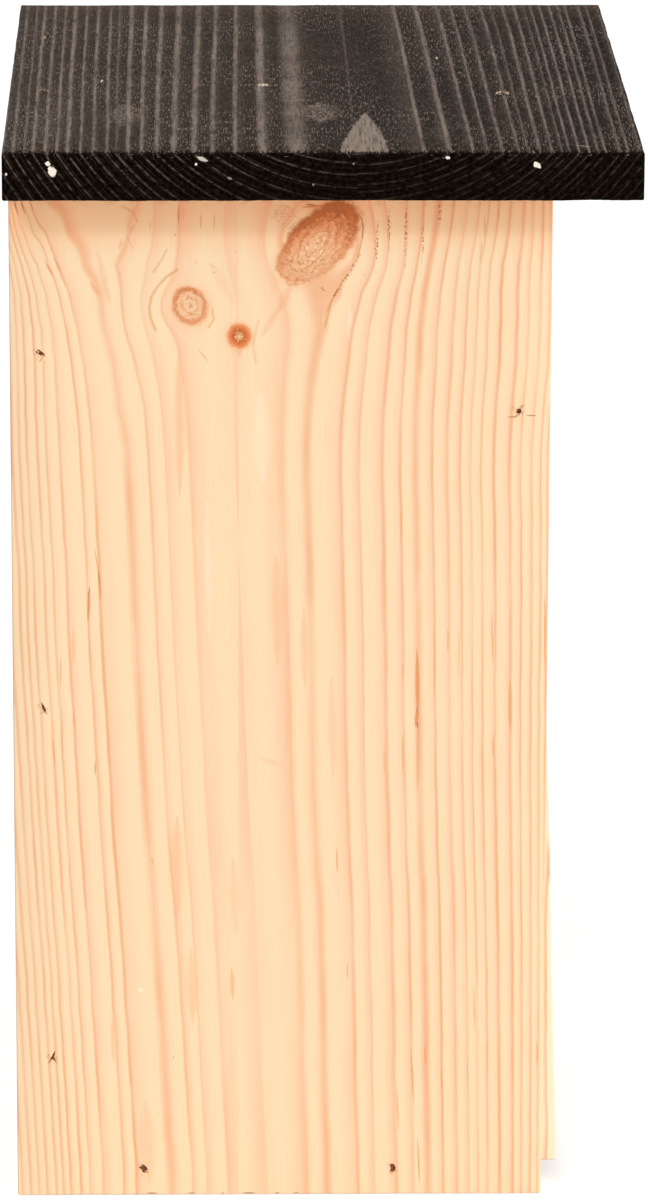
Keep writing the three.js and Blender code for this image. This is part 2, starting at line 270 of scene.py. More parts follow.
# A stroke between two points of a face, slim at its ends when tapered, kept where stronger than the last
def strokeGroup():
    tree, w, given, result = newGroup(
        "strokeShare",
        {"Place": (0, 0, 0), "From": (0, 0, 0), "To": (0, 0, 0), "Half Width": 1, "Taper": 1, "Core": 0,
         "Strength": 1, "So Far": 0},
        ["Share"],
    )
    run = w.vector("SUBTRACT", given["To"], given["From"])
    perLength = w.scaled(run, w.ratio(1.0, w.vector("DOT_PRODUCT", run, run)))
    offset = w.vector("SUBTRACT", given["Place"], given["From"])
    part = w.node("ShaderNodeClamp", {"Value": w.vector("DOT_PRODUCT", offset, perLength)}).outputs[0]
    gap = w.vector("DISTANCE", offset, w.scaled(run, part))
    slim = w.multiplyAdd(part, 2.0, -1.0)
    slim = w.multiplyAdd(w.product(slim, slim), w.product(given["Half Width"], given["Taper"], -1.0),
                  w.product(given["Half Width"], 1.03))
    share = w.between(w.ratio(gap, slim), given["Core"], 1.0, given["Strength"], 0.0)
    w.feed(result["Share"], w.calc("MAXIMUM", share, given["So Far"]))
    return tree


oval, flow, stroke = ovalGroup(), flowGroup(), strokeGroup()


def ovalReach(w, lateral, along, spot):
    atLateral, atAlong, halfWidth, halfLength, lean = spot
    return w.node("ShaderNodeGroup", {
        "Lateral": lateral, "Along": along, "At Lateral": atLateral, "At Along": atAlong,
        "Half Width": halfWidth, "Half Length": halfLength, "Lean": math.radians(lean),
    }, node_tree=oval).outputs[0]


def knotPush(w, lateral, along, knots):
    pushes = [
        w.node("ShaderNodeGroup", {
            "Lateral": lateral, "Along": along, "At Lateral": knot["at"][0], "At Along": knot["at"][1],
            "Radius": knot["push"], "Stretch": knot["stretch"],
        }, node_tree=flow).outputs[0]
        for knot in knots
    ]
    return w.total(*pushes)


# Millimetres across, along and into a board, from its corner or face named by the signs
def boardSpace(w, look):
    place = w.node("ShaderNodeTexCoord").outputs
    parts = w.node("ShaderNodeSeparateXYZ", {"Vector": place["Object"]}).outputs
    normal = w.node("ShaderNodeSeparateXYZ", {"Vector": place["Normal"]}).outputs
    named = {}
    for role in ("lateral", "along", "depth"):
        axis, sign, start = look[role]
        named[role] = w.multiplyAdd(parts[axis], sign * 1000.0, start)
    named["end"] = w.absolute(normal[look["along"][0]])
    return named


def wandering(w, space, amount, length, seed):
    place = w.point(w.product(space["lateral"], 0.012), w.ratio(space["along"], length), seed)
    return w.product(w.minus(w.cloud(place, 1.0, 2.0), 0.5), amount)


# Fine fibres along the grain: long thin streaks on the faces, dots on the end grain
def fibres(w, space, fineness, stretch, seed):
    place = w.point(
        w.total(w.product(space["lateral"], fineness), seed),
        w.product(space["depth"], fineness),
        w.product(space["along"], fineness * stretch),
    )
    return w.cloud(place, 1.0, 3.0, 0.6)


# A finished material; bump holds a height, its distance in metres and its strength
def finish(material, w, colour, roughness, bump=None, specular=0.12, metallic=0.0):
    inputs = {"Base Color": colour, "Roughness": roughness, "Specular IOR Level": specular,
              "Metallic": metallic}
    if bump:
        uneven = dict(zip(("Height", "Distance", "Strength"), bump))
        inputs["Normal"] = w.node("ShaderNodeBump", uneven).outputs[0]
    shader = w.node("ShaderNodeBsdfPrincipled", inputs)
    w.node("ShaderNodeOutputMaterial", {"Surface": shader.outputs[0]})
    return material


def newMaterial(name):
    material = bpy.data.materials.new(name)
    material.use_nodes = True
    material.node_tree.nodes.clear()
    return material, Wires(material.node_tree)


pineTones = {
    "early": shade(255, 224, 183), "earlyWarm": shade(254, 206, 168),
    "salmon": shade(245, 168, 126), "olive": shade(234, 172, 110),
    "endGrain": shade(226, 178, 132), "resin": shade(226, 138, 68),
    "smudge": shade(220, 134, 74), "dark": shade(132, 58, 18), "dot": shade(158, 76, 24),
    "pit": shade(122, 46, 12), "peach": shade(251, 196, 152), "pencil": shade(178, 112, 66),
    "bare": shade(255, 242, 212), "ochre": shade(236, 172, 88), "rosy": shade(247, 170, 134),
    # the last tone here is painted shade, a rosy darkening for the band under the roof's overhang
    "arc": shade(224, 156, 84), "paintedEaveShade": (1.0, 0.77, 0.65, 1.0),
}


# Marks on a board: each holds the places along its path, across and along the board, then its half width and
# its share; the strongest wins
def inked(w, lateral, along, marks, core=0.35):
    share, place = 0.0, w.point(lateral, along, 0.0)
    for *path, halfWidth, strength in marks:
        points = list(zip(path[::2], path[1::2]))
        for start, end in zip(points, points[1:]):
            share = w.node("ShaderNodeGroup", {
                "Place": place, "From": (*start, 0.0), "To": (end[0], end[1] + 0.01, 0.0),
                "Half Width": halfWidth, "Taper": 1.0 if len(points) == 2 else 0.0,
                "Core": core, "Strength": strength, "So Far": share,
            }, node_tree=stroke).outputs[0]
    return share


def inZone(marks, zone, margin=5):
    return [mark for mark in marks
            if max(mark[1:-2:2]) > zone[0] - margin and min(mark[1:-2:2]) < zone[1] + margin]


# What a knot has unless its own dictionary says otherwise; its tones run from its middle outwards
knotLook = {
    "stretch": 1.1, "grain": 0.55, "ragged": 0.28, "dotScale": 2.2, "darkSide": 90,
    "slant": 0.0, "mottle": 0.0,
    "rings": 22.0, "ringWaver": 2.5, "ringShare": 0.5, "faintSide": 0.35, "rimShare": 0.8,
    "speckScale": 2.6, "speckReach": 0.85, "halo": 1.7, "haloShare": 0.6,
}


def knotColour(w, lateral, along, knot, colour, seed):
    place = w.point(lateral, along, seed)
    ragged = w.minus(w.cloud(place, knot["grain"], 3.0, 0.6), 0.5)
    reach = ovalReach(w, lateral, along, (*knot["at"], *knot["half"], knot["lean"]))
    reach = w.multiplyAdd(ragged, knot["ragged"], reach)
    dots = w.between(w.cloud(place, knot["dotScale"], 2.0, 0.7), 0.40, 0.60)
    turn = math.radians(knot["darkSide"])
    side = w.total(w.product(w.minus(lateral, knot["at"][0]), math.cos(turn) / knot["half"][0]),
                  w.product(w.minus(along, knot["at"][1]), math.sin(turn) / knot["half"][0]))
    shifted = w.multiplyAdd(side, knot["slant"], w.ratio(reach, 1.25), clamp=True)
    mottle = w.minus(w.cloud(place, 0.9, 4.0, 0.7), 0.5)
    tones = [(at, shade(*tone)) for at, *tone in knot["tones"]]
    body = w.ramp(w.multiplyAdd(mottle, knot["mottle"], shifted), tones)
    rings = w.calc("SINE", w.multiplyAdd(ragged, knot["ringWaver"], w.product(reach, knot["rings"])))
    rings = w.product(w.between(rings, 0.2, 0.95), w.between(dots, 0.0, 1.0, 0.3, 1.0))
    body = w.blend(w.product(rings, knot["ringShare"]), body, knot["ringTone"])
    # the rim is darker on one side and broken into dots
    rim = w.between(w.absolute(w.minus(reach, knot["rimAt"])), 0.0, knot["rimWidth"], 1.0, 0.0)
    rim = w.product(rim, w.between(side, -1.0, 1.0, knot["faintSide"], 1.0),
                    w.between(dots, 0.0, 1.0, 0.5, 1.0))
    body = w.blend(w.product(rim, knot["rimShare"]), body, knot["rimTone"])
    specks = w.between(w.cloud(place, knot["speckScale"], 1.0), 0.58, 0.66)
    specks = w.product(specks, w.between(w.product(shifted, 1.25), knot["speckReach"], 0.2), 0.75)
    body = w.blend(specks, body, knot["speckTone"])
    halo = w.between(reach, 1.0, knot["halo"], knot["haloShare"], 0.0)
    colour = w.blend(halo, colour, knot["haloTone"])
    return w.blend(w.between(reach, 0.92, 1.12, 1.0, 0.0), colour, body), reach


# Late wood of one ring: crisp towards the bark, soft towards the pith
def lateLine(w, outward):
    return w.product(w.between(outward, 0.1, 1.7, 1.0, 0.0), w.between(outward, -2.2, 0.0))


# The nearest ring line to a place: its number, how far outside it the place lies, and its own values
def ringLines(w, placed, sign, rings, last):
    phase = w.curve(placed, [(ring[0], number + 0.5) for number, ring in enumerate(rings)])
    number = w.calc("FLOOR", phase)

    def perRing(values):
        return w.curve(number, [*enumerate(values), (last, values[-1])])

    outward = w.minus(placed, perRing([ring[0] for ring in rings]))
    outward = w.product(w.ratio(outward, perRing([ring[1] for ring in rings])), sign)
    late = w.calc("FRACT", w.product(w.minus(w.calc("FRACT", phase), 0.5), w.product(sign, -1.0)))
    return number, outward, late, perRing


# Fibres and knots over the ring lines: the new colour, and the height for the bump
def fibresAndKnots(w, space, colour, line, seed, knots, knotSeed):
    fine, finer = fibres(w, space, 2.2, 0.03, seed), fibres(w, space, 7.0, 0.02, seed + 5)
    colour = w.blend(w.between(fine, 0.48, 0.8, 0.0, 0.15), colour, pineTones["salmon"])
    colour = w.blend(w.between(fine, 0.48, 0.2, 0.0, 0.13), colour, pineTones["bare"])
    colour = w.blend(w.between(finer, 0.55, 0.8, 0.0, 0.09), colour, pineTones["endGrain"])
    height = w.total(w.product(line, 0.12), w.product(fine, 0.4), w.product(finer, 0.25))
    for order, knot in enumerate(knots):
        colour, reach = knotColour(w, space["lateral"], space["along"], knot, colour, knotSeed + order)
        height = w.total(height, w.between(reach, 0.8, 1.1, 0.5, 0.0))
    return colour, height


# Slow shifts of tone between the lines
def earlyWood(w, space, phase, tones, seed):
    tint = w.patches(space["lateral"], 0.10, space["along"], 0.012, seed, 2.0)
    slow = w.product(phase, w.between(tint, 0.30, 0.66, 0.35, 1.0))
    return w.blend(slow, tones["early"], tones["earlyWarm"])


# The left side panel

leftGrain = {
    "lateral": (1, -1, backFace), "along": (2, 1, 0.0), "depth": (0, 1, sideFace),
    "middle": 57.0, "pithDepth": 55.0, "innerSpacing": 2.9, "bump": (0.00012, 0.5),
    "zones": (0.0, 111.58, 195.26, 265.0),  # each has its own material, with the marks that lie in it
    # each ring line: its place from the back edge halfway up the box, half width, strength and tone, from
    # salmon at 0 to olive at 1
    "rings": [
        (-16.6, 0.3, 0.6, 0.2), (-14.5, 0.28, 0.6, 0.7), (-12.4, 0.3, 0.8, 0.3), (-10.3, 0.28, 0.6, 0.9),
        (-8.2, 0.3, 0.8, 0.4), (-6.1, 0.3, 0.6, 0.1), (-4.0, 0.28, 0.8, 0.8), (-1.9, 0.3, 0.7, 0.3),
        (0.4, 0.3, 0.9, 0.2), (2.2, 0.3, 0.8, 0.5), (4.1, 0.28, 0.9, 0.9), (6.8, 0.3, 0.9, 0.3),
        (9.0, 0.26, 0.8, 0.9), (12.3, 0.34, 0.9, 0.1), (17.6, 0.3, 0.8, 0.7), (20.4, 0.36, 1.0, 0.6),
        (29.0, 0.95, 0.7, 0.2), (34.4, 0.3, 0.6, 0.8), (38.4, 0.25, 0.35, 1.0), (44.4, 0.45, 0.35, 0.3),
        (56.0, 3.0, 0.08, 0.2), (68.2, 1.0, 0.4, 0.4), (74.0, 1.0, 0.75, 0.4), (82.8, 0.5, 0.7, 0.3),
        (87.2, 0.24, 0.5, 1.0), (93.2, 0.5, 0.8, 0.1), (97.6, 0.32, 0.75, 0.6), (101.5, 0.85, 0.85, 0.2),
        (105.6, 0.28, 0.9, 0.9), (109.4, 0.4, 0.5, 0.2), (112.6, 0.28, 0.65, 0.8),
        (115.2, 0.26, 0.65, 1.0), (117.8, 0.28, 0.9, 0.8), (121.0, 0.38, 1.0, 0.5),
        (125.1, 0.42, 0.95, 0.1), (127.8, 0.25, 0.85, 0.9), (130.6, 0.32, 0.8, 0.3),
        (132.9, 0.24, 0.7, 0.9), (134.6, 0.3, 0.9, 0.5), (136.8, 0.3, 0.7, 0.3), (139.5, 0.3, 0.7, 0.8),
    ],
    "ringTable": 51,  # the lookups run over this many steps, so that each ring falls on one of their entries
    # how the lines drift towards the back edge below: height profile, then amount across
    "lowProfile": [(0, 1.0), (32, 0.84), (66, 0.66), (102, 0.42), (133, 0.26), (168, 0.12), (200, 0),
                   (265, 0)],
    "lowAmount": [(0, 9.5), (20, 9.8), (45, 11.0), (65, 8.5), (80, 6.0), (92, 5.0), (107, 4.6),
                  (125, 3.4), (135, 1)],
    # how they fan out above: at each height, the shift at places across
    "fan": [
        (200, [(0, 0), (135, 0)]),
        (209, [(0, 0.6), (20, 0), (27, -1.2), (33, 0), (76, 0.2), (102, -0.5), (135, 0)]),
        (221, [(0, 1.4), (8, 1.3), (12, 0.8), (16, -0.1), (19, 0), (25, -1.1), (31, -0.7), (36, 0),
               (70, 0), (77, 0.8), (85, 0.2), (102, -1.2), (120, -0.6), (135, 0)]),
        (230, [(0, 1.6), (8, 1.1), (11, 0.5), (14, -0.9), (17, -0.9), (23, -2.5), (29, -1.9), (34, -0.3),
               (40, 0), (66, 0), (74, 1.0), (79, 2.4), (86, 0.4), (102, -1.5), (120, -0.8), (135, 0)]),
        (239, [(0, 1.2), (5, 0.1), (9, -0.9), (12, -2.8), (15, -3.2), (22, -3.4), (28, -2.7), (34, -0.5),
               (38, 0), (66, 0), (76, 1.0), (82, 5.2), (88, 1.3), (103, -1.2), (122, -0.9), (135, 0)]),
        (246, [(0, 0.2), (3, -1.5), (7, -3.1), (10, -5.6), (12, -5.8), (19, -7.5), (23, -6.0),
               (27, -4.5), (33, -1.0), (40, 0), (70, 0), (78, 2.0), (85, 5.1), (91, 2.3), (104, -0.5),
               (122, -0.6), (135, 0)]),
        (254, [(0, -3.2), (2, -5.2), (4, -6.7), (6, -9.5), (9, -9.2), (15, -12.0), (20, -8.5),
               (25, -5.0), (29, -2.4), (36, 0), (72, 0), (85, 5.0), (91, 2.0), (106, 1.0), (124, 0.8),
               (135, 0)]),
        (262, [(0, -6.0), (2, -8.8), (3, -12.4), (5, -13.1), (10, -16.7), (20, -10.0), (28, -3.5),
               (32, 0), (72, 0), (85, 4.5), (92, 2.0), (107, 2.4), (125, 1.6), (135, 0)]),
    ],
    "flowWindow": (194, 226),
    "knots": [
        {**knotLook, "at": (44.9, 235.7), "half": (4.5, 5.2), "lean": -24, "push": 6.0, "stretch": 1.15,
         "ragged": 0.36, "grain": 0.7, "dotScale": 1.5, "darkSide": 115,
         "rings": 19.0, "ringWaver": 4.0, "ringShare": 0.6, "ringTone": shade(206, 122, 74),
         "rimAt": 0.84, "rimWidth": 0.16, "rimTone": shade(196, 102, 54), "rimShare": 0.75, "faintSide": 0.45,
         "halo": 1.5, "haloShare": 0.35, "haloTone": shade(252, 204, 158),
         "speckTone": shade(255, 226, 190), "speckScale": 1.6, "speckReach": 1.0,
         "tones": [(0.0, 248, 204, 160), (0.3, 246, 196, 150), (0.56, 245, 186, 140), (0.70, 243, 176, 128),
                   (0.84, 250, 200, 154)]},
        {**knotLook, "at": (57.2, 228.0), "half": (3.0, 3.25), "lean": 0, "push": 3.2,
         "ragged": 0.34, "grain": 0.8, "darkSide": 95,
         "rings": 14.0, "ringShare": 0.4, "ringTone": shade(206, 104, 48),
         "rimAt": 0.46, "rimWidth": 0.18, "rimTone": shade(172, 84, 34), "rimShare": 0.85, "faintSide": 0.6,
         "halo": 1.5, "haloShare": 0.5, "haloTone": shade(251, 196, 146),
         "speckTone": shade(248, 214, 172), "speckScale": 2.0,
         "tones": [(0.0, 242, 204, 158), (0.18, 226, 160, 108), (0.34, 222, 130, 76), (0.5, 222, 118, 62),
                   (0.66, 236, 142, 86), (0.84, 250, 190, 140)]},
        {**knotLook, "at": (77.0, 252.0), "half": (6.8, 12.7), "lean": 43, "push": 9.0,
         "ragged": 0.36, "slant": 0.33, "grain": 0.45, "dotScale": 1.3, "mottle": 1.15, "darkSide": 100,
         "rings": 27.0, "ringWaver": 6.0, "ringShare": 0.6, "ringTone": shade(190, 108, 64),
         "rimAt": 0.88, "rimWidth": 0.09, "rimTone": shade(200, 108, 60), "rimShare": 0.4, "faintSide": 0.5,
         "halo": 1.3, "haloShare": 0.5, "haloTone": shade(251, 192, 142),
         "speckTone": shade(255, 228, 188), "speckScale": 1.4, "speckReach": 0.7,
         "tones": [(0.0, 244, 190, 144), (0.25, 242, 186, 140), (0.46, 240, 173, 125), (0.57, 233, 162, 115),
                   (0.70, 219, 144, 98), (0.79, 206, 130, 86), (0.91, 174, 106, 62), (1.0, 188, 118, 73)]},
    ],
    # marks as in inked: soft patches first
    "peach": [
        (42.2, 226, 42.3, 186, 2.1, 0.75), (41.2, 103, 41.3, 74, 2.8, 0.7),
        (44.8, 68, 45.3, 46, 2.0, 0.6), (33.0, 26, 34.0, 3, 3.4, 0.5), (24.6, 49, 24.8, 36, 0.8, 0.8),
        (15.2, 153, 15.4, 142, 0.8, 0.9), (73.4, 158, 73.8, 136, 1.6, 0.6),
        (66.3, 172, 67.0, 142, 2.4, 0.6), (93.2, 172, 93.6, 150, 1.2, 0.7),
        (50.0, 247, 56.0, 236, 2.6, 0.35), (22.0, 250, 25.0, 236, 1.4, 0.6),
        (62.0, 118, 68.0, 116, 1.2, 0.4), (55.5, 92, 56.5, 70, 2.2, 0.4),
        (80.4, 140, 81.0, 112, 1.8, 0.45), (112.0, 90, 112.4, 60, 0.9, 0.5),
    ],
    "rosy": [
        (70.4, 241.6, 66.8, 234.0, 2.1, 0.45), (67.2, 235.4, 62.6, 227.6, 1.5, 0.35),
        (83.8, 251.6, 78.4, 244.6, 1.7, 0.6), (67.6, 246.0, 71.6, 240.4, 1.6, 0.7),
        (11.0, 248.4, 14.2, 240.6, 0.4, 0.8), (8.6, 247.8, 11.2, 242.6, 0.35, 0.8),
        (20.2, 242, 22.4, 238, 0.9, 0.6), (28.0, 253, 27.4, 250, 0.7, 0.5),
        (57.2, 225.4, 57.3, 222.6, 1.2, 0.5),
    ],
    "ochre": [
        (50.5, 235.0, 50.9, 232.4, 49.6, 230.2, 0.42, 0.6), (55.2, 62, 55.5, 53, 1.0, 0.5),
        (34.9, 91.8, 35.1, 89.6, 0.5, 0.5),
    ],
    # resin and bruised fibres along the lines
    "resin": [
        (20.8, 173.5, 21.9, 166.0, 0.24, 0.6), (21.8, 167.5, 22.3, 159.5, 0.36, 0.75),
        (19.5, 163.4, 19.0, 153.6, 0.5, 0.8), (19.2, 155.0, 19.6, 139.0, 0.22, 0.4),
        (12.1, 145.0, 12.0, 136.5, 0.24, 0.5), (15.3, 131.0, 15.4, 125.6, 0.24, 0.45),
        (12.3, 132.0, 12.4, 119.0, 0.22, 0.4), (10.1, 123.5, 10.4, 115.6, 0.26, 0.5),
        (102.0, 147.0, 102.4, 129.0, 0.85, 0.7), (102.3, 131.4, 101.9, 126.0, 0.7, 0.8),
        (102.4, 131.0, 102.4, 108.0, 0.5, 0.35), (98.4, 143.0, 98.5, 138.4, 0.26, 0.4),
        (98.5, 124.6, 98.7, 113.0, 0.34, 0.4), (106.2, 153.0, 106.7, 133.0, 0.26, 0.5),
        (109.8, 152.6, 109.9, 145.4, 0.4, 0.4), (120.8, 157.5, 121.2, 142.0, 0.3, 0.55),
        (125.7, 139.0, 125.8, 125.0, 0.8, 0.4), (134.2, 162.0, 134.4, 140.0, 0.36, 0.65),
        (121.5, 124.6, 121.6, 117.4, 0.4, 0.4), (93.9, 120.6, 94.0, 113.4, 0.45, 0.3),
        (97.8, 183.5, 97.9, 174.0, 0.36, 0.3), (82.0, 94.6, 82.1, 87.0, 0.4, 0.5),
        (84.8, 63.5, 84.9, 58.6, 0.34, 0.4), (101.2, 40.5, 102.1, 24.0, 0.38, 0.6),
        (97.6, 29.4, 98.2, 16.4, 0.4, 0.4), (103.1, 15.6, 103.7, 2.6, 0.38, 0.6),
        (133.6, 41.8, 133.7, 34.6, 0.42, 0.4), (109.0, 35.0, 109.2, 28.0, 0.28, 0.35),
        (104.8, 41.0, 105.0, 35.0, 0.34, 0.4), (78.6, 233.5, 80.6, 238.0, 0.3, 0.6),
        (31.0, 250, 29.0, 254, 0.3, 0.3), (112.6, 152.0, 112.6, 138.0, 0.3, 0.3),
        (117.2, 57.0, 117.6, 44.6, 0.3, 0.45), (115.8, 37.6, 115.9, 29.0, 0.24, 0.3),
        (118.0, 259.0, 118.1, 253.0, 0.34, 0.4), (117.3, 252.4, 117.1, 246.0, 0.28, 0.4),
        (121.3, 260.6, 121.5, 257.6, 0.34, 0.4),
        # the large knot's lower band
        (85.6, 252.6, 82.0, 247.2, 77.0, 243.2, 1.1, 0.12),
        # its reddish outline at the lower left, and the small knots' outlines
        (73.3, 256.3, 69.8, 252.7, 67.5, 249.2, 66.6, 245.6, 67.6, 243.2,
         70.3, 242.2, 73.6, 242.2, 0.45, 0.5),
        (40.8, 237.4, 41.8, 239.8, 44.7, 240.5, 47.5, 239.3, 0.5, 0.4),
        (42.6, 232.4, 45.1, 231.2, 47.6, 232.2, 0.6, 0.35), (46.0, 247.3, 46.9, 246.1, 0.3, 0.3),
        (49.6, 246.4, 51.4, 245.4, 0.4, 0.2),
    ],
    "smudge": [
        (1.4, 262.6, 2.5, 258.6, 0.34, 0.8), (3.1, 262.4, 4.3, 258.8, 0.34, 0.8),
        (5.4, 262.6, 6.4, 259.4, 0.28, 0.5), (9.2, 246.8, 11.0, 243.4, 0.25, 0.5),
        (10.9, 248.6, 12.8, 244.6, 0.3, 0.5), (28.2, 261.1, 30.9, 259.6, 31.9, 257.1, 0.4, 0.35),
        (31.6, 257.0, 29.9, 254.1, 0.4, 0.3), (42.2, 261.4, 42.2, 256.2, 0.4, 0.6),
        (43.4, 261.0, 43.4, 257.0, 0.3, 0.3), (47.8, 259.2, 47.6, 255.4, 0.36, 0.5),
        (51.1, 259.4, 50.9, 254.8, 0.3, 0.45), (35.2, 257.8, 35.1, 254.8, 0.25, 0.35),
        (41.2, 254.2, 41.2, 253.4, 0.42, 0.6), (13.9, 91.6, 13.9, 85.6, 0.2, 0.35),
        (41.9, 245.2, 41.8, 245.0, 0.4, 0.6),
        # inside the large knot: the brown upper part, its stripe and its inner line
        (73.4, 256.8, 80.4, 258.6, 2.6, 0.35), (82.2, 257.6, 81.6, 253.2, 79.8, 250.6, 0.9, 0.25),
        (84.2, 260.4, 86.0, 255.0, 1.5, 0.45),
        (79.4, 256.0, 79.2, 251.6, 77.6, 248.6, 75.2, 246.2, 72.4, 244.6, 0.32, 0.6),
        (72.6, 260.8, 79.0, 261.2, 0.55, 0.8), (64.8, 257.8, 69.6, 261.6, 2.6, 0.2),
        (85.6, 260.6, 87.4, 258.3, 88.0, 255.8, 87.6, 252.7, 86.8, 248.6, 0.36, 0.6),
    ],
    "dark": [
        (73.4, 261.6, 76.4, 261.2, 0.4, 0.6), (87.6, 258.0, 88.0, 255.8, 87.7, 253.0, 0.26, 0.45),
        (1.4, 262.6, 2.0, 260.6, 0.26, 0.4), (3.1, 262.4, 3.8, 260.4, 0.26, 0.4),
        (20.6, 117.4, 20.7, 113.4, 0.24, 0.5), (102.3, 127.6, 102.4, 125.6, 0.4, 0.5),
        (102.0, 131.6, 102.1, 130.0, 0.3, 0.4), (21.7, 167.5, 22.0, 164.0, 0.18, 0.5),
        (19.6, 163.2, 19.1, 160.4, 0.18, 0.5), (40.3, 37.9, 40.3, 37.3, 0.34, 0.4),
        (33.0, 0.45, 36.2, 0.4, 0.35, 0.7), (43.6, 0.4, 46.0, 0.4, 0.3, 0.6),
        (52.6, 0.4, 53.2, 0.4, 0.3, 0.7), (58.0, 0.45, 61.4, 0.4, 0.32, 0.7),
        (66.2, 0.4, 67.6, 0.4, 0.3, 0.6), (71.0, 0.4, 72.6, 0.4, 0.3, 0.6),
    ],
    "arc": [
        (41.7, 244.9, 38.9, 242.9, 36.6, 240.3, 35.3, 237.8, 34.8, 235.2,
         35.1, 232.7, 36.3, 229.6, 0.6, 0.55),
        (39.2, 250.0, 37.6, 246.9, 35.9, 244.4, 0.5, 0.4),
        (83.0, 242.4, 80.0, 236.4, 78.6, 230.4, 0.4, 0.7),
        (62.0, 232.0, 60.6, 226.0, 61.4, 221.0, 0.5, 0.3), (46.8, 224.8, 49.8, 221.0, 0.4, 0.4),
    ],
    # dark dots in rows beside the large knot
    "dotted": [
        (91.6, 257.6, 91.2, 247.0, 0.5, 0.9), (94.4, 261.0, 94.3, 249.4, 0.45, 0.95),
        (98.6, 262.4, 98.4, 244.6, 0.42, 0.9), (102.9, 259.6, 102.6, 246.0, 0.4, 0.7),
        (106.9, 262.4, 106.8, 256.0, 0.5, 0.8), (87.0, 248.4, 84.1, 243.6, 80.6, 237.8, 0.4, 0.8),
        (77.0, 240.2, 78.6, 239.6, 0.7, 0.7), (66.6, 261.6, 71.0, 254.8, 3.4, 0.3),
        (88.4, 244.0, 88.6, 243.0, 0.5, 0.5), (50.9, 244.6, 50.9, 244.0, 0.4, 0.5),
        (55.2, 254.5, 55.2, 254.0, 0.4, 0.6), (56.5, 249.9, 56.5, 249.4, 0.4, 0.4),
    ],
    "pale": [
        (31.5, 56.6, 32.1, 55.2, 0.75, 0.9), (41.3, 229.6, 45.6, 225.5, 0.2, 0.5),
        (84.6, 236.0, 85.0, 225, 1.3, 0.4), (62.5, 214.0, 63.0, 190.0, 3.4, 0.35),
        (49.0, 186.0, 49.6, 150.0, 1.6, 0.35),
    ],
    "pencil": [
        (124.2, 207.1, 126.3, 207.1, 0.2, 0.8), (128.8, 207.5, 131.6, 207.4, 0.2, 0.85),
        (128.3, 210.2, 128.4, 209.8, 0.2, 0.5),
    ],
}


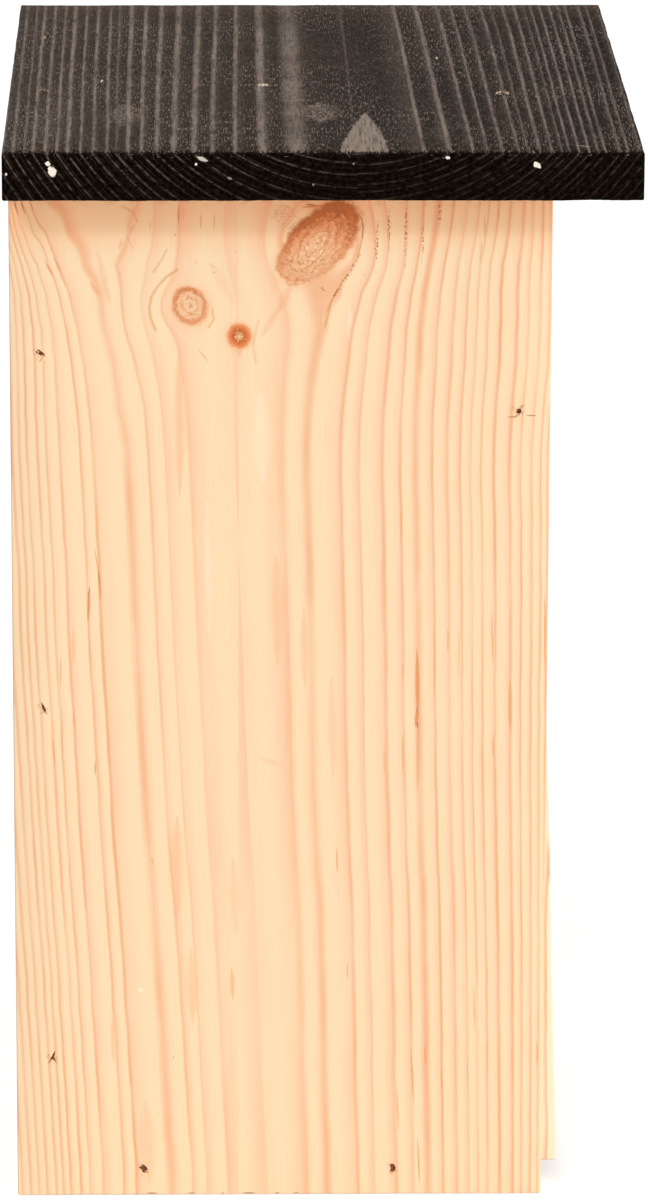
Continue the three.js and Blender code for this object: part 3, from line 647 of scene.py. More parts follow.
def sidePanelMaterial(grain, zone):
    material, w = newMaterial(f"left_side_pine_{zone[0]:.0f}")
    beneath = {"peach": 0.0, "rosy": 0.0, "pale": 0.1}  # how sharp each kind of mark is
    above = {"ochre": 0.1, "arc": 0.1, "resin": 0.15, "smudge": 0.1, "dark": 0.1}
    marks = {label: inZone(grain[label], zone) for label in (*beneath, *above, "dotted", "pencil")}
    hasKnots = zone[1] > grain["fan"][0][0]
    space = boardSpace(w, grain)
    lateral, along, depth = space["lateral"], space["along"], space["depth"]
    # where the ring through this point meets the outer face
    offset = w.minus(lateral, grain["middle"])
    thick = grain["pithDepth"]
    square = w.total(w.product(offset, offset), w.product(depth, -2.0 * thick), w.product(depth, depth))
    reach = w.calc("SQRT", w.calc("MAXIMUM", square, 0.0))
    sign = w.calc("SIGN", offset)
    face = w.multiplyAdd(sign, reach, grain["middle"])
    inner = w.calc("SQRT", w.total(w.calc("MINIMUM", square, 0.0), thick * thick))
    inner = w.ratio(w.minus(thick, inner), grain["innerSpacing"])
    # drift below, fan above and flow round the knots
    low = w.product(w.curve(along, grain["lowProfile"]), w.curve(face, grain["lowAmount"]))
    placed = w.minus(face, low)
    if hasKnots:
        fan, under = 0.0, grain["fan"][0][0]
        for height, shifts in grain["fan"][1:]:
            rise = w.between(along, under, height, smooth=False)
            fan = w.multiplyAdd(rise, w.minus(w.curve(face, shifts), fan), fan)
            under = height
        push = w.product(knotPush(w, face, along, grain["knots"]), w.between(along, *grain["flowWindow"]))
        placed = w.minus(placed, w.total(push, fan))
    placed = w.total(placed, wandering(w, space, 1.0, 45.0, 3.1))
    placed = w.total(placed, wandering(w, space, 0.5, 9.0, 8.7))
    rings = grain["rings"]
    number, outward, late, perRing = ringLines(w, placed, sign, rings, grain["ringTable"])
    patchy = w.patches(number, 1.7, along, 0.03, 0.4, 3.0)
    line = w.product(lateLine(w, outward), perRing([ring[2] for ring in rings]),
                     w.between(patchy, 0.3, 0.66, 0.4, 1.05))
    innerLine = w.between(w.absolute(w.minus(w.calc("FRACT", inner), 0.5)), 0.05, 0.2, 1.0, 0.0)
    line = w.calc("MAXIMUM", line, w.product(innerLine, w.between(inner, 0.1, 0.5)))
    colour = earlyWood(w, space, w.between(late, 0.60, 0.0), pineTones, 5.5)
    # peach and rosy patches under the lines, then the lines
    wobble = w.minus(w.patches(lateral, 0.7, along, 0.35, 2.0, 3.0, 0.6), 0.5)
    loose = w.multiplyAdd(wobble, 0.9, lateral)
    close = w.multiplyAdd(wobble, 0.35, lateral)
    for label, core in beneath.items():
        tone = pineTones["bare" if label == "pale" else label]
        if marks[label]:
            colour = w.blend(inked(w, loose, along, marks[label], core), colour, tone)
    lineTone = w.blend(perRing([ring[3] for ring in rings]), pineTones["salmon"], pineTones["olive"])
    colour = w.blend(w.product(line, 0.8), colour, lineTone)
    colour, height = fibresAndKnots(w, space, colour, line, 4.0, grain["knots"] if hasKnots else (), 11.0)
    for label, core in above.items():
        if marks[label]:
            colour = w.blend(inked(w, close, along, marks[label], core), colour, pineTones[label])
    if hasKnots:
        dots = w.between(w.patches(lateral, 2.3, along, 1.6, 31.0, 1.0), 0.48, 0.62)
        dotted = inked(w, loose, along, marks["dotted"], 0.6)
        colour = w.blend(w.product(dotted, dots, 0.9), colour, pineTones["dot"])
        colour = w.blend(inked(w, close, along, marks["pencil"]), colour, pineTones["pencil"])
        grime = w.patches(lateral, 0.3, along, 0.5, 17.0, 4.0, 0.7)
        grime = w.product(w.between(grime, 0.48, 0.66), w.between(along, 259.5, 264.6, 0.0, 0.5))
        colour = w.blend(grime, colour, pineTones["smudge"])
        # painted shade: a rosy darkening multiplied into the band under the roof's overhang, where its shadow
        # falls
        colour = w.blend(w.between(along, 246.0, 261.0), colour, pineTones["paintedEaveShade"], "MULTIPLY")
    colour = w.blend(w.between(space["end"], 0.6, 0.9, 0.0, 0.55), colour, pineTones["endGrain"])
    colour = pitTones(w, space, grain, colour, "left")
    return finish(material, w, colour, w.between(line, 0.0, 1.0, 0.62, 0.50), (height, *grain["bump"]))


# Dark walls and a faint stain where a brad or nail was driven
def pitTones(w, space, look, colour, label):
    spots = []
    for node in drivenInto(label):
        middle = middleOf(node)
        lateral, along = (sign * middle[axis] + start
                          for axis, sign, start in (look["lateral"], look["along"]))
        spots.append((lateral, along - 0.6, lateral, along + 0.6, 3.4, 1.0))
    near = inked(w, space["lateral"], space["along"], spots, 0.0)
    colour = w.blend(w.between(near, 0.45, 1.0, 0.0, 0.35), colour, look.get("stain", pineTones["resin"]))
    sunk = w.product(w.between(space["depth"], 0.04, 0.12), w.between(space["depth"], 0.50, 0.56, 1.0, 0.0))
    return w.blend(w.product(sunk, w.between(near, 0.1, 0.3), 0.95), colour, pineTones["pit"])


# Any other pine board: rings round a pith line beside the board, with its own knots

boardGrains = {
    "right_side": {"lateral": (1, -1, backFace), "along": (2, 1, 0.0), "depth": (0, -1, sideFace),
                   "middle": 82.0, "pithDepth": 46.0, "spacing": 2.7, "seed": 21.0, "pits": "right",
                   "knots": [((40.0, 96.0), (5.0, 6.2), 12), ((98.0, 182.0), (3.0, 3.4), -20)]},
    "back_board": {"lateral": (0, 1, 73.0), "along": (2, 1, 0.0), "depth": (1, -1, backFace),
                   "middle": 64.0, "pithDepth": 38.0, "spacing": 2.9, "seed": 35.0, "pits": "back",
                   "knots": [((104.0, 148.0), (6.0, 8.0), 22), ((38.0, 52.0), (2.6, 2.8), 0)]},
    "front_door": {"lateral": (0, 1, 73.0), "along": (2, 1, 0.0), "depth": (1, 1, 65.5),
                   "middle": 79.0, "pithDepth": 52.0, "spacing": 2.8, "seed": 47.0,
                   "early": shade(255, 242, 216), "earlyWarm": shade(254, 232, 198),
                   "knots": [((112.0, 66.0), (5.2, 6.6), -16), ((30.0, 118.0), (2.7, 3.0), 10)]},
    "front_rail": {"lateral": (2, 1, -245.0), "along": (0, 1, 73.0), "depth": (1, 1, 65.5),
                   "middle": -14.0, "pithDepth": 30.0, "spacing": 2.4, "seed": 58.0, "knots": []},
    "floor_board": {"lateral": (1, 1, 53.1), "along": (0, 1, 73.0), "depth": (2, 1, 0.0),
                    "middle": 50.0, "pithDepth": 40.0, "spacing": 2.8, "seed": 66.0,
                    "knots": [((74.0, 100.0), (4.0, 5.0), 30)]},
}

plainKnot = {
    **knotLook,
    "grain": 0.5, "rings": 15.0, "ringTone": shade(190, 116, 78), "dotScale": 1.7,
    "rimAt": 0.88, "rimWidth": 0.15, "rimTone": shade(140, 78, 46), "darkSide": 60, "faintSide": 0.45,
    "halo": 1.6, "haloShare": 0.5, "haloTone": shade(249, 192, 142),
    "speckTone": shade(252, 222, 188), "speckScale": 1.8,
    "tones": [(0.0, 232, 174, 126), (0.25, 234, 174, 126), (0.5, 224, 156, 106),
              (0.72, 202, 130, 88), (0.82, 226, 156, 110), (1.0, 246, 188, 138)],
}


def boardMaterial(name):
    material, w = newMaterial(name + "_pine")
    grain = boardGrains[name]
    space = boardSpace(w, grain)
    lateral, along, depth, seed = space["lateral"], space["along"], space["depth"], grain["seed"]
    knots = [{**plainKnot, "at": at, "half": half, "lean": lean, "push": half[0] * 1.25}
             for at, half, lean in grain["knots"]]
    moved = w.total(lateral, wandering(w, space, 9.0, 130.0, seed))
    moved = w.total(moved, wandering(w, space, 0.8, 16.0, seed + 3))
    if knots:
        moved = w.minus(moved, knotPush(w, moved, along, knots))
    offset = w.minus(moved, grain["middle"])
    below = w.minus(grain["pithDepth"], depth)
    radius = w.calc("SQRT", w.total(w.product(offset, offset), w.product(below, below)))
    uneven = w.cloud(w.point(w.product(radius, 0.11), seed, 0.0), 1.0, 1.0)
    phase = w.total(w.ratio(radius, grain["spacing"]), w.product(uneven, 1.6))
    number, part = w.calc("FLOOR", phase), w.calc("FRACT", phase)
    lot = w.chance(w.total(number, seed))
    patchy = w.patches(number, 1.7, along, 0.03, seed, 3.0)
    line = w.product(w.between(part, w.multiplyAdd(lot, -0.15, 0.80), 0.96),
                     w.between(part, 0.96, 1.0, 1.0, 0.0))
    line = w.product(line, w.between(lot, 0.0, 1.0, 0.5, 1.0), w.between(patchy, 0.3, 0.7, 0.6, 1.1))
    colour = earlyWood(w, space, w.between(part, 0.2, 1.0), {**pineTones, **grain}, seed)
    colour = w.blend(w.product(line, 0.9), colour, w.blend(lot, pineTones["olive"], pineTones["salmon"]))
    colour, height = fibresAndKnots(w, space, colour, line, seed, knots, seed)
    colour = w.blend(w.between(space["end"], 0.6, 0.9, 0.0, 0.55), colour, pineTones["endGrain"])
    if "pits" in grain:
        colour = pitTones(w, space, grain, colour, grain["pits"])
    return finish(material, w, colour, w.between(line, 0.0, 1.0, 0.64, 0.52), (height, *leftGrain["bump"]))


# The roof's black stain

roofGrain = {
    "lateral": (1, -1, 68.7), "along": (0, 1, roofEnd), "depth": (2, -1, roofTop),
    "middle": 87.4, "pithHeight": 48.0, "length": 2 * roofEnd, "ringTable": 51,
    "bump": (0.0002, 0.7), "specular": 0.015,
    # place from the back edge on the near end's top, half width and strength of each ring line
    "rings": [
        (-8.0, 0.3, 0.5), (-5.6, 0.35, 0.6), (-2.8, 0.4, 0.6), (0.2, 0.3, 0.4), (2.7, 0.45, 0.6),
        (5.4, 0.35, 0.4), (7.6, 0.5, 0.75), (10.6, 0.5, 0.7), (13.5, 0.4, 0.7), (16.1, 0.6, 0.8),
        (19.3, 0.4, 0.7), (22.4, 0.5, 0.7), (25.8, 0.45, 0.7), (28.0, 0.3, 0.35), (30.9, 0.6, 0.9),
        (34.2, 0.5, 0.8), (37.9, 0.6, 0.8), (42.1, 0.8, 0.8), (47.1, 0.8, 0.75), (51.5, 0.7, 0.8),
        (57.2, 0.6, 0.8), (63.9, 1.15, 0.9), (72.0, 3.0, 0.66), (87.4, 0.5, 0.0), (104.5, 0.6, 0.85),
        (110.2, 0.7, 0.9), (116.1, 0.5, 0.7), (119.5, 0.35, 0.7), (123.2, 0.5, 0.7), (127.2, 0.4, 0.65),
        (129.4, 0.25, 0.35), (132.3, 0.5, 0.75), (135.3, 0.4, 0.7), (137.8, 0.25, 0.4),
        (139.5, 0.35, 0.7), (141.9, 0.35, 0.75), (144.4, 0.35, 0.75), (146.6, 0.4, 0.6),
        (148.3, 0.35, 0.6), (152.0, 0.4, 0.5), (154.0, 0.35, 0.5), (157.0, 0.3, 0.4), (159.6, 0.3, 0.5),
        (162.2, 0.3, 0.5), (165.0, 0.3, 0.5),
    ],
    # how far each place has moved across at the far end
    "drift": [(-8, -0.5), (5, -0.7), (10, -1.0), (20, -1.2), (26, -1.2), (31, -0.6), (36, 0.2),
              (42, 0.9), (52, 1.6), (60, 1.2), (71, 0), (88, -1), (104, -2.6), (112, -2.7), (117, -2.3),
              (124, -1.9), (130, -0.8), (135, -0.6), (142, -0.3), (150, 0.2), (165, 0.5)],
    "topLeft": shade(70, 56, 45), "topRight": shade(34, 26, 20), "line": shade(178, 159, 144),
    "speck": shade(214, 196, 176), "far": shade(96, 68, 44), "stain": shade(30, 24, 20),
    "end": shade(6, 3, 1), "endBrown": shade(26, 17, 10), "endLine": shade(90, 79, 69),
    "bare": shade(250, 240, 222), "fresh": shade(250, 212, 172),
    # the pale wedge at the near end: its middle and half width along the board
    "wedgeMiddle": [(-2, 88.8), (27, 89.9), (50, 90.4)],
    "wedgeHalf": [(-2, 6.6), (0, 6.3), (12, 5.5), (24, 4.2), (37, 2.3), (45, 1.0), (50, 0.0)],
    # marks as in inked: rubbed patches on the top, then scratches, then torn wood at the brads
    "rubbed": [
        (29.8, 32, 29.8, 60, 7.5, 0.42), (79.0, 36, 79.0, 62, 7.5, 0.6), (12.0, 4, 12.6, 80, 9.0, 0.15),
        (108.0, 10, 110.0, 44, 4.0, 0.15),
    ],
    "scratches": [
        (64.9, 82.2, 65.2, 86.2, 0.6, 1.0), (125.5, 71.4, 125.7, 76.0, 0.65, 1.0),
        (126.8, 72.0, 126.8, 75.6, 0.55, 1.0), (141.2, 9.4, 145.3, 7.0, 0.3, 0.8),
        (23.5, 87.6, 23.5, 91.0, 0.55, 1.0), (111.0, 117.6, 111.0, 121.0, 0.5, 0.8),
    ],
    "opened": [
        (64.2, 82.6, 64.2, 85.6, 0.7, 1.0), (66.0, 82.2, 65.8, 85.8, 0.7, 1.0),
        (124.9, 71.8, 125.0, 75.2, 0.6, 1.0), (127.6, 71.4, 127.5, 75.2, 0.6, 1.0),
        (8.0, 75.0, 8.0, 78.6, 0.6, 0.9), (9.8, 75.6, 9.8, 78.0, 0.5, 0.8),
        (7.6, 146.4, 7.6, 150.0, 0.6, 0.9), (9.4, 147.0, 9.4, 149.2, 0.5, 0.8),
    ],
    # bare wood chipped on the end face, by place across and below the top
    "chipped": [
        (11.3, 4.9, 13.5, 4.3, 1.55, 1.0), (11.2, 3.9, 12.6, 4.0, 0.9, 1.0),
        (10.6, 2.5, 12.0, 2.8, 0.75, 1.0), (0.7, 5.2, 1.3, 5.4, 0.45, 0.9),
        (47.9, 0.9, 50.6, 2.0, 0.6, 0.6), (47.4, 2.7, 48.0, 2.8, 0.45, 1.0),
        (108.8, 1.0, 110.2, 1.3, 0.45, 1.0), (130.8, 2.2, 132.4, 3.8, 0.7, 1.0),
        (130.8, 2.4, 131.6, 3.6, 0.7, 1.0), (55.4, 6.1, 56.6, 6.5, 0.4, 0.25),
        (86.2, 2.5, 86.6, 2.9, 0.3, 0.3), (76.4, 7.6, 76.6, 8.2, 0.3, 0.3),
    ],
}


def roofMaterial(grain):
    material, w = newMaterial("roof_stained_pine")
    space = boardSpace(w, grain)
    lateral, along, depth = space["lateral"], space["along"], space["depth"]
    moved = w.total(lateral, wandering(w, space, 0.9, 90.0, 71.0))
    moved = w.total(moved, wandering(w, space, 0.4, 7.0, 76.0))
    offset = w.minus(moved, grain["middle"])
    sign, pith = w.calc("SIGN", offset), grain["pithHeight"]
    square = w.total(w.product(offset, offset), w.product(depth, w.total(depth, 2.0 * pith)))
    face = w.multiplyAdd(sign, w.calc("SQRT", square), grain["middle"])
    drift = w.product(w.curve(face, grain["drift"]), w.ratio(along, grain["length"]))
    rings = grain["rings"]
    number, outward, late, perRing = ringLines(w, w.minus(face, drift), sign, rings, grain["ringTable"])
    strength = perRing([ring[2] for ring in rings])
    patchy = w.patches(number, 1.7, along, 0.045, 70.0, 4.0, 0.6)
    fine = fibres(w, space, 1.6, 0.06, 72.0)
    finer = fibres(w, space, 3.2, 0.08, 73.0)
    grains = w.patches(lateral, 2.0, along, 0.5, 78.0, 3.0, 0.75)
    line = w.product(w.between(w.absolute(outward), 0.2, 1.4, 1.0, 0.0), strength,
                     w.between(patchy, 0.3, 0.66, 0.5, 1.15), w.between(grains, 0.3, 0.6, 0.6, 1.15))
    tint = w.patches(lateral, 0.05, along, 0.02, 74.0, 3.0)
    end = w.between(space["end"], 0.5, 0.85)
    share = w.multiplyAdd(w.minus(tint, 0.5), 1.2, w.ratio(lateral, 158.0), clamp=True)
    colour = w.blend(share, grain["topLeft"], grain["topRight"])
    colour = w.blend(w.product(w.between(late, 0.5, 0.0), 0.14), colour, grain["line"])
    colour = w.blend(w.product(line, 0.85), colour, grain["line"])
    rag = w.minus(w.patches(lateral, 0.5, along, 0.3, 75.0, 4.0, 0.65), 0.5)
    scoured = w.patches(lateral, 1.3, along, 0.5, 79.0, 3.0, 0.7)
    rubbed = inked(w, w.multiplyAdd(rag, 12.0, lateral), w.multiplyAdd(rag, 14.0, along),
                   grain["rubbed"], 0.0)
    colour = w.blend(w.product(rubbed, w.between(scoured, 0.42, 0.60, 0.1, 1.5)), colour, grain["line"])
    coarse = w.patches(lateral, 0.55, along, 0.22, 85.0, 3.0, 0.65)
    colour = w.blend(w.between(coarse, 0.50, 0.72, 0.0, 0.40), colour, grain["end"])
    colour = w.blend(w.between(coarse, 0.46, 0.28, 0.0, 0.14), colour, grain["line"])
    # the wedge, then fibres and specks over everything
    half = w.curve(along, grain["wedgeHalf"])
    gap = w.minus(w.multiplyAdd(rag, 1.6, lateral), w.curve(along, grain["wedgeMiddle"]))
    gap = w.minus(w.absolute(gap), half)
    wedge = w.product(w.between(gap, -0.5, 0.25, 1.0, 0.0), w.between(fine, 0.3, 0.7, 1.0, 0.75))
    colour = w.blend(w.product(wedge, w.between(along, 47.0, 50.5, 1.0, 0.0)), colour, grain["line"])
    far = w.product(w.between(along, 165.0, 192.0), w.between(grains, 0.3, 0.6), 0.4)
    colour = w.blend(far, colour, grain["far"])
    colour = w.blend(w.between(fine, 0.46, 0.72, 0.0, 0.65), colour, grain["end"])
    colour = w.blend(w.between(grains, 0.50, 0.72, 0.0, 0.45), colour, grain["end"])
    worn = w.patches(lateral, 0.04, along, 0.018, 84.0, 2.0, 0.6)
    worn = w.product(w.between(worn, 0.40, 0.60, 0.4, 1.35), w.between(along, 20.0, 150.0, 1.0, 0.85))
    colour = w.blend(w.product(w.between(finer, 0.53, 0.66, 0.0, 0.62), worn), colour, grain["line"])
    specks = w.patches(lateral, 1.5, along, 0.7, 77.0, 2.0, 0.7)
    colour = w.blend(w.product(w.between(specks, 0.66, 0.72, 0.0, 0.75), worn), colour, grain["speck"])
    near = w.multiplyAdd(rag, 0.8, lateral)
    for label, tone in (("opened", "fresh"), ("scratches", "bare")):
        colour = w.blend(inked(w, near, along, grain[label], 0.2), colour, grain[tone])
    # the stain stops raggedly at the near edge
    teeth = w.cloud(w.point(w.product(lateral, 1.2), 0.0, 5.0), 1.0, 3.0, 0.7)
    teeth = w.minus(along, w.between(teeth, 0.40, 0.62, 0.2, 3.8))
    colour = w.blend(w.between(teeth, -0.25, 0.25, 0.9, 0.0), colour, grain["end"])
    # end grain: arcs of the rings with fainter ones between, broken up
    across = w.total(depth, pith)
    radius = w.calc("SQRT", w.total(w.product(offset, offset), w.product(across, across)))
    ringRadius = perRing([math.hypot(ring[0] - grain["middle"], pith) for ring in rings])
    arc = w.between(w.absolute(w.minus(radius, ringRadius)), 0.10, 0.34, 1.0, 0.0)
    ripple = w.calc("SINE", w.multiplyAdd(rag, 2.0, w.product(radius, 4.4)))
    arc = w.calc("MAXIMUM", arc, w.between(ripple, 0.6, 1.0, 0.0, 0.22))
    broken = w.patches(lateral, 0.35, depth, 0.55, 81.0, 4.0, 0.75)
    arc = w.product(arc, w.between(broken, 0.40, 0.60, 0.05, 1.0), w.between(depth, 0.5, 12.0, 1.2, 0.55),
                    w.between(lateral, 25.0, 110.0, 1.0, 0.34))
    mottle = w.patches(lateral, 0.9, depth, 0.9, 83.0, 3.0, 0.7)
    endColour = w.blend(w.between(mottle, 0.42, 0.66), grain["end"], grain["endBrown"])
    endColour = w.blend(w.product(arc, 0.9), endColour, grain["endLine"])
    chipped = inked(w, w.multiplyAdd(rag, 1.2, lateral), w.multiplyAdd(rag, -0.8, depth),
                    grain["chipped"], 0.55)
    endColour = w.blend(w.product(chipped, w.between(along, 3.0, 6.0, 1.0, 0.0)), endColour, grain["bare"])
    colour = w.blend(end, colour, endColour)
    colour = pitTones(w, space, grain, colour, "roof")
    height = w.total(w.product(line, 0.6), w.product(fine, 0.5), w.product(finer, 0.3))
    roughness = w.between(line, 0.0, 1.0, 0.78, 0.62)
    return finish(material, w, colour, roughness, (height, *grain["bump"]), grain["specular"])


# Metals

def zincMaterial():
    material, w = newMaterial("zinc_plate")
    place = w.node("ShaderNodeTexCoord").outputs["Object"]
    cells = w.node("ShaderNodeTexVoronoi", {"Vector": place, "Scale": 900.0}).outputs["Color"]
    grey = w.node("ShaderNodeSeparateColor", {"Color": cells}).outputs[0]
    smear = w.cloud(place, 260.0, 3.0, 0.6)
    colour = w.blend(w.between(grey, 0.0, 1.0), shade(196, 200, 202), shade(222, 224, 222))
    colour = w.blend(w.between(smear, 0.55, 0.75, 0.0, 0.5), colour, shade(170, 172, 168))
    roughness = w.between(smear, 0.3, 0.75, 0.24, 0.48)
    return finish(material, w, colour, roughness, (smear, 0.00003, 0.4), specular=0.5, metallic=1.0)


def wireMaterial():
    material, w = newMaterial("brad_wire")
    place = w.node("ShaderNodeTexCoord").outputs["Object"]
    rust = w.between(w.cloud(place, 1400.0, 3.0, 0.6), 0.42, 0.62)
    colour = w.blend(rust, shade(116, 74, 50), shade(120, 56, 24))
    return finish(material, w, colour, w.between(rust, 0.0, 1.0, 0.55, 0.85), specular=0.5, metallic=0.3)


# 1 where a ray shows the place to the camera, 0 where it only lights something
def seenShare(w):
    paths = w.node("ShaderNodeLightPath").outputs
    return w.calc("MAXIMUM", w.calc("MAXIMUM", paths["Is Camera Ray"], paths["Is Glossy Ray"]),
                  paths["Is Transmission Ray"])


def floorMaterial():
    material, w = newMaterial("studio_floor")
    seen = seenShare(w)
    tone = studio["floorTone"]
    matt = w.node("ShaderNodeBsdfDiffuse", {"Color": (tone, tone, tone, 1.0)}).outputs[0]
    glow = w.node("ShaderNodeEmission", {"Strength": w.product(seen, studio["floorGlow"])}).outputs[0]
    both = w.node("ShaderNodeAddShader")
    w.feed(both.inputs[0], matt)
    w.feed(both.inputs[1], glow)
    w.node("ShaderNodeOutputMaterial", {"Surface": both.outputs[0]})
    return material


def lightRoom():
    scene = bpy.context.scene
    scene.view_settings.view_transform = "Standard"
    world = bpy.data.worlds.new("white_room")
    world.use_nodes = True
    world.node_tree.nodes.clear()
    w = Wires(world.node_tree)
    level = w.between(seenShare(w), 0.0, 1.0, studio["sky"], 1.0, smooth=False)
    room = w.node("ShaderNodeBackground", {"Color": (1.0, 1.0, 1.0, 1.0), "Strength": level})
    w.node("ShaderNodeOutputWorld", {"Surface": room.outputs[0]})
    scene.world = world
    for name, sun in studio["suns"].items():
        addSun(name, *sun)
    reach = studio["floorReach"]
    mesh = bpy.data.meshes.new("studio_floor")
    low = -studio["floorDrop"]
    mesh.from_pydata([(-reach, -reach, low), (reach, -reach, low), (reach, reach, low), (-reach, reach, low)],
                     [], [(0, 1, 2, 3)])
    mesh.materials.append(floorMaterial())
    floor = bpy.data.objects.new("studio_floor", mesh)
    scene.collection.objects.link(floor)


# Meshes

def smooth(mesh, angle):
    mesh.shade_smooth()
    mesh.set_sharp_from_angle(angle=math.radians(angle))


def applyModifiers(piece):
    graph = bpy.context.evaluated_depsgraph_get()
    mesh = bpy.data.meshes.new_from_object(piece.evaluated_get(graph))
    piece.modifiers.clear()
    old, piece.data = piece.data, mesh
    bpy.data.meshes.remove(old)
    mesh.name = piece.name
    return mesh


def toObject(name, shape, material, smoothAngle=None):
    mesh = bpy.data.meshes.new(name)
    shape.to_mesh(mesh)
    shape.free()
    mesh.materials.append(material)
    if smoothAngle is not None:
        smooth(mesh, smoothAngle)
    piece = bpy.data.objects.new(name, mesh)
    bpy.context.scene.collection.objects.link(piece)
    return piece


# A board: a box in cells, cut where the cutters say, then its outer arrises rounded, worn and wavering
def boardPiece(name, low, high, look, material, cutters=(), turn=None):
    low, high = Vector(low), Vector(high)
    shape = bmesh.new()
    verts = [shape.verts.new((x, y, z))
             for x in (low.x, high.x) for y in (low.y, high.y) for z in (low.z, high.z)]
    for side in [(0, 1, 3, 2), (4, 6, 7, 5), (0, 4, 5, 1), (2, 3, 7, 6), (0, 2, 6, 4), (1, 5, 7, 3)]:
        shape.faces.new([verts[index] for index in side])
    for axis in range(3):
        span = high[axis] - low[axis]
        count = round(span / look["cell"])
        across = Vector([float(axis == index) for index in range(3)])
        for number in range(1, count):
            geometry = list(shape.verts) + list(shape.edges) + list(shape.faces)
            at = across * (low[axis] + span * number / count)
            bmesh.ops.bisect_plane(shape, geom=geometry, plane_co=at, plane_no=across, dist=1e-5)
    bmesh.ops.recalc_face_normals(shape, faces=shape.faces)
    bmesh.ops.scale(shape, vec=(mm, mm, mm), verts=shape.verts)
    piece = toObject(name, shape, material)
    if cutters:
        cutAway(piece, cutters)
    shape = bmesh.new()
    shape.from_mesh(piece.data)
    bmesh.ops.scale(shape, vec=(1000, 1000, 1000), verts=shape.verts)
    wearArrises(shape, low, high, look)
    bmesh.ops.scale(shape, vec=(mm, mm, mm), verts=shape.verts)
    if turn:
        bmesh.ops.transform(shape, matrix=turn, verts=shape.verts)
    shape.to_mesh(piece.data)
    shape.free()
    smooth(piece.data, 24)
    return piece


# Which faces of the board a place lies on
def onPlanes(place, low, high, tolerance=0.002):
    return {(axis, side) for axis in range(3) for side, plane in enumerate((low, high))
            if abs(place[axis] - plane[axis]) < tolerance}


# waves along an arris: how many to a millimetre, and the second one's share; then the chips' own unevenness,
# the length over which the wear fades in at a corner, and the least that is left of the round
wear = {
    "slow": 0.11, "quick": 0.9, "quickShare": 0.6, "torn": 3.1, "tornShare": 0.35, "fade": 2.5, "least": 0.25,
}


def wearArrises(shape, low, high, look):
    arris, seed = look["arris"], look["seed"]
    outer = [edge for edge in shape.edges
             if len(onPlanes(edge.verts[0].co, low, high) & onPlanes(edge.verts[1].co, low, high)) > 1]
    worn = []
    for edge in outer:
        count = max(1, round(edge.calc_length() / look["step"]))
        far = edge.verts[1]
        for left in range(count, 1, -1):
            near = edge.other_vert(far)
            _, middle = bmesh.utils.edge_split(edge, near, 1 / left)
            pair = list(middle.link_edges)
            edge = next(link for link in pair if link.other_vert(middle) is far)
            worn.append(next(link for link in pair if link is not edge))
        worn.append(edge)
    bmesh.ops.bevel(shape, geom=worn, offset=arris, offset_type="OFFSET", segments=3, profile=0.5,
                    affect="EDGES", clamp_overlap=False)
    limit = arris * 1.02
    for vert in shape.verts:
        inward = [min(vert.co[axis] - low[axis], high[axis] - vert.co[axis]) for axis in range(3)]
        near = [axis for axis in range(3) if inward[axis] < limit]
        if len(near) != 2:
            continue
        run = ({0, 1, 2} - set(near)).pop()
        line = Vector([low[axis] if vert.co[axis] - low[axis] < limit else high[axis] for axis in range(3)])
        line[run] = vert.co[run]
        wave = noise.noise(line * wear["slow"] + Vector((seed, 0, 0)))
        wave += wear["quickShare"] * noise.noise(line * wear["quick"] + Vector((0, seed, 0)))
        growth = 1 + look["waver"] * wave
        for place, length, depth in look.get("chips", ()):
            gap = (line - Vector(place)).length
            if gap < length:
                torn = 1 + wear["tornShare"] * noise.noise(line * wear["torn"])
                growth += depth * (1 - (gap / length) ** 2) * torn
        fade = min(max((inward[run] - arris) / wear["fade"], 0.0), 1.0)
        vert.co = line + (vert.co - line) * (1 + (max(growth, wear["least"]) - 1) * fade)


# A prism of an outline between two distances; place turns outline and distance into millimetres
def prismShape(outline, low, high, place):
    shape = bmesh.new()
    bottom, top = ([shape.verts.new(Vector(place(x, y, end)) * mm) for x, y in outline]
                   for end in (low, high))
    shape.faces.new(bottom[::-1])
    shape.faces.new(top)
    joinRows(shape, [bottom, top])
    return shape


# Faces between rows of points round a shape, where a row of one point is a tip
def joinRows(shape, rows):
    for first, second in zip(rows, rows[1:]):
        count = max(len(first), len(second))
        for k in range(count):
            after = (k + 1) % count
            if len(first) == 1:
                shape.faces.new([first[0], second[k], second[after]])
            elif len(second) == 1:
                shape.faces.new([first[k], second[0], first[after]])
            else:
                shape.faces.new([first[k], second[k], second[after], first[after]])
    bmesh.ops.recalc_face_normals(shape, faces=shape.faces)


def circle(radius, facets):
    turns = [2 * math.pi * k / facets for k in range(facets)]
    return [(radius * math.cos(turn), radius * math.sin(turn)) for turn in turns]


# A turned shape round an axis: profile holds (radius, distance along the axis), closed at both ends
def turnedShape(profile, facets, place):
    shape = bmesh.new()
    joinRows(shape, [[shape.verts.new(Vector(place(a, b, along)) * mm)
                      for a, b in (circle(radius, facets) if radius else [(0, 0)])]
                     for radius, along in profile])
    return shape


def cutAway(piece, cutters):
    helpers = []
    for number, shape in enumerate(cutters):
        mesh = bpy.data.meshes.new("cutter")
        shape.to_mesh(mesh)
        shape.free()
        helper = bpy.data.objects.new("cutter", mesh)
        bpy.context.scene.collection.objects.link(helper)
        helpers.append(helper)
        cut = piece.modifiers.new(f"cut{number}", "BOOLEAN")
        cut.operation, cut.solver, cut.object = "DIFFERENCE", "EXACT", helper
    applyModifiers(piece)
    for helper in helpers:
        bpy.data.objects.remove(helper)


def acrossSide(sign):
    # a plane on the left (-1) or right (1) side: y, z and depth inwards from the face
    return lambda y, z, depth: (sign * (sideFace - depth), y, z)


def overRoof(x, y, depth):
    return (x, y, roofTop - depth)


def intoBack(x, z, depth):
    return (x, backFace - depth, z)


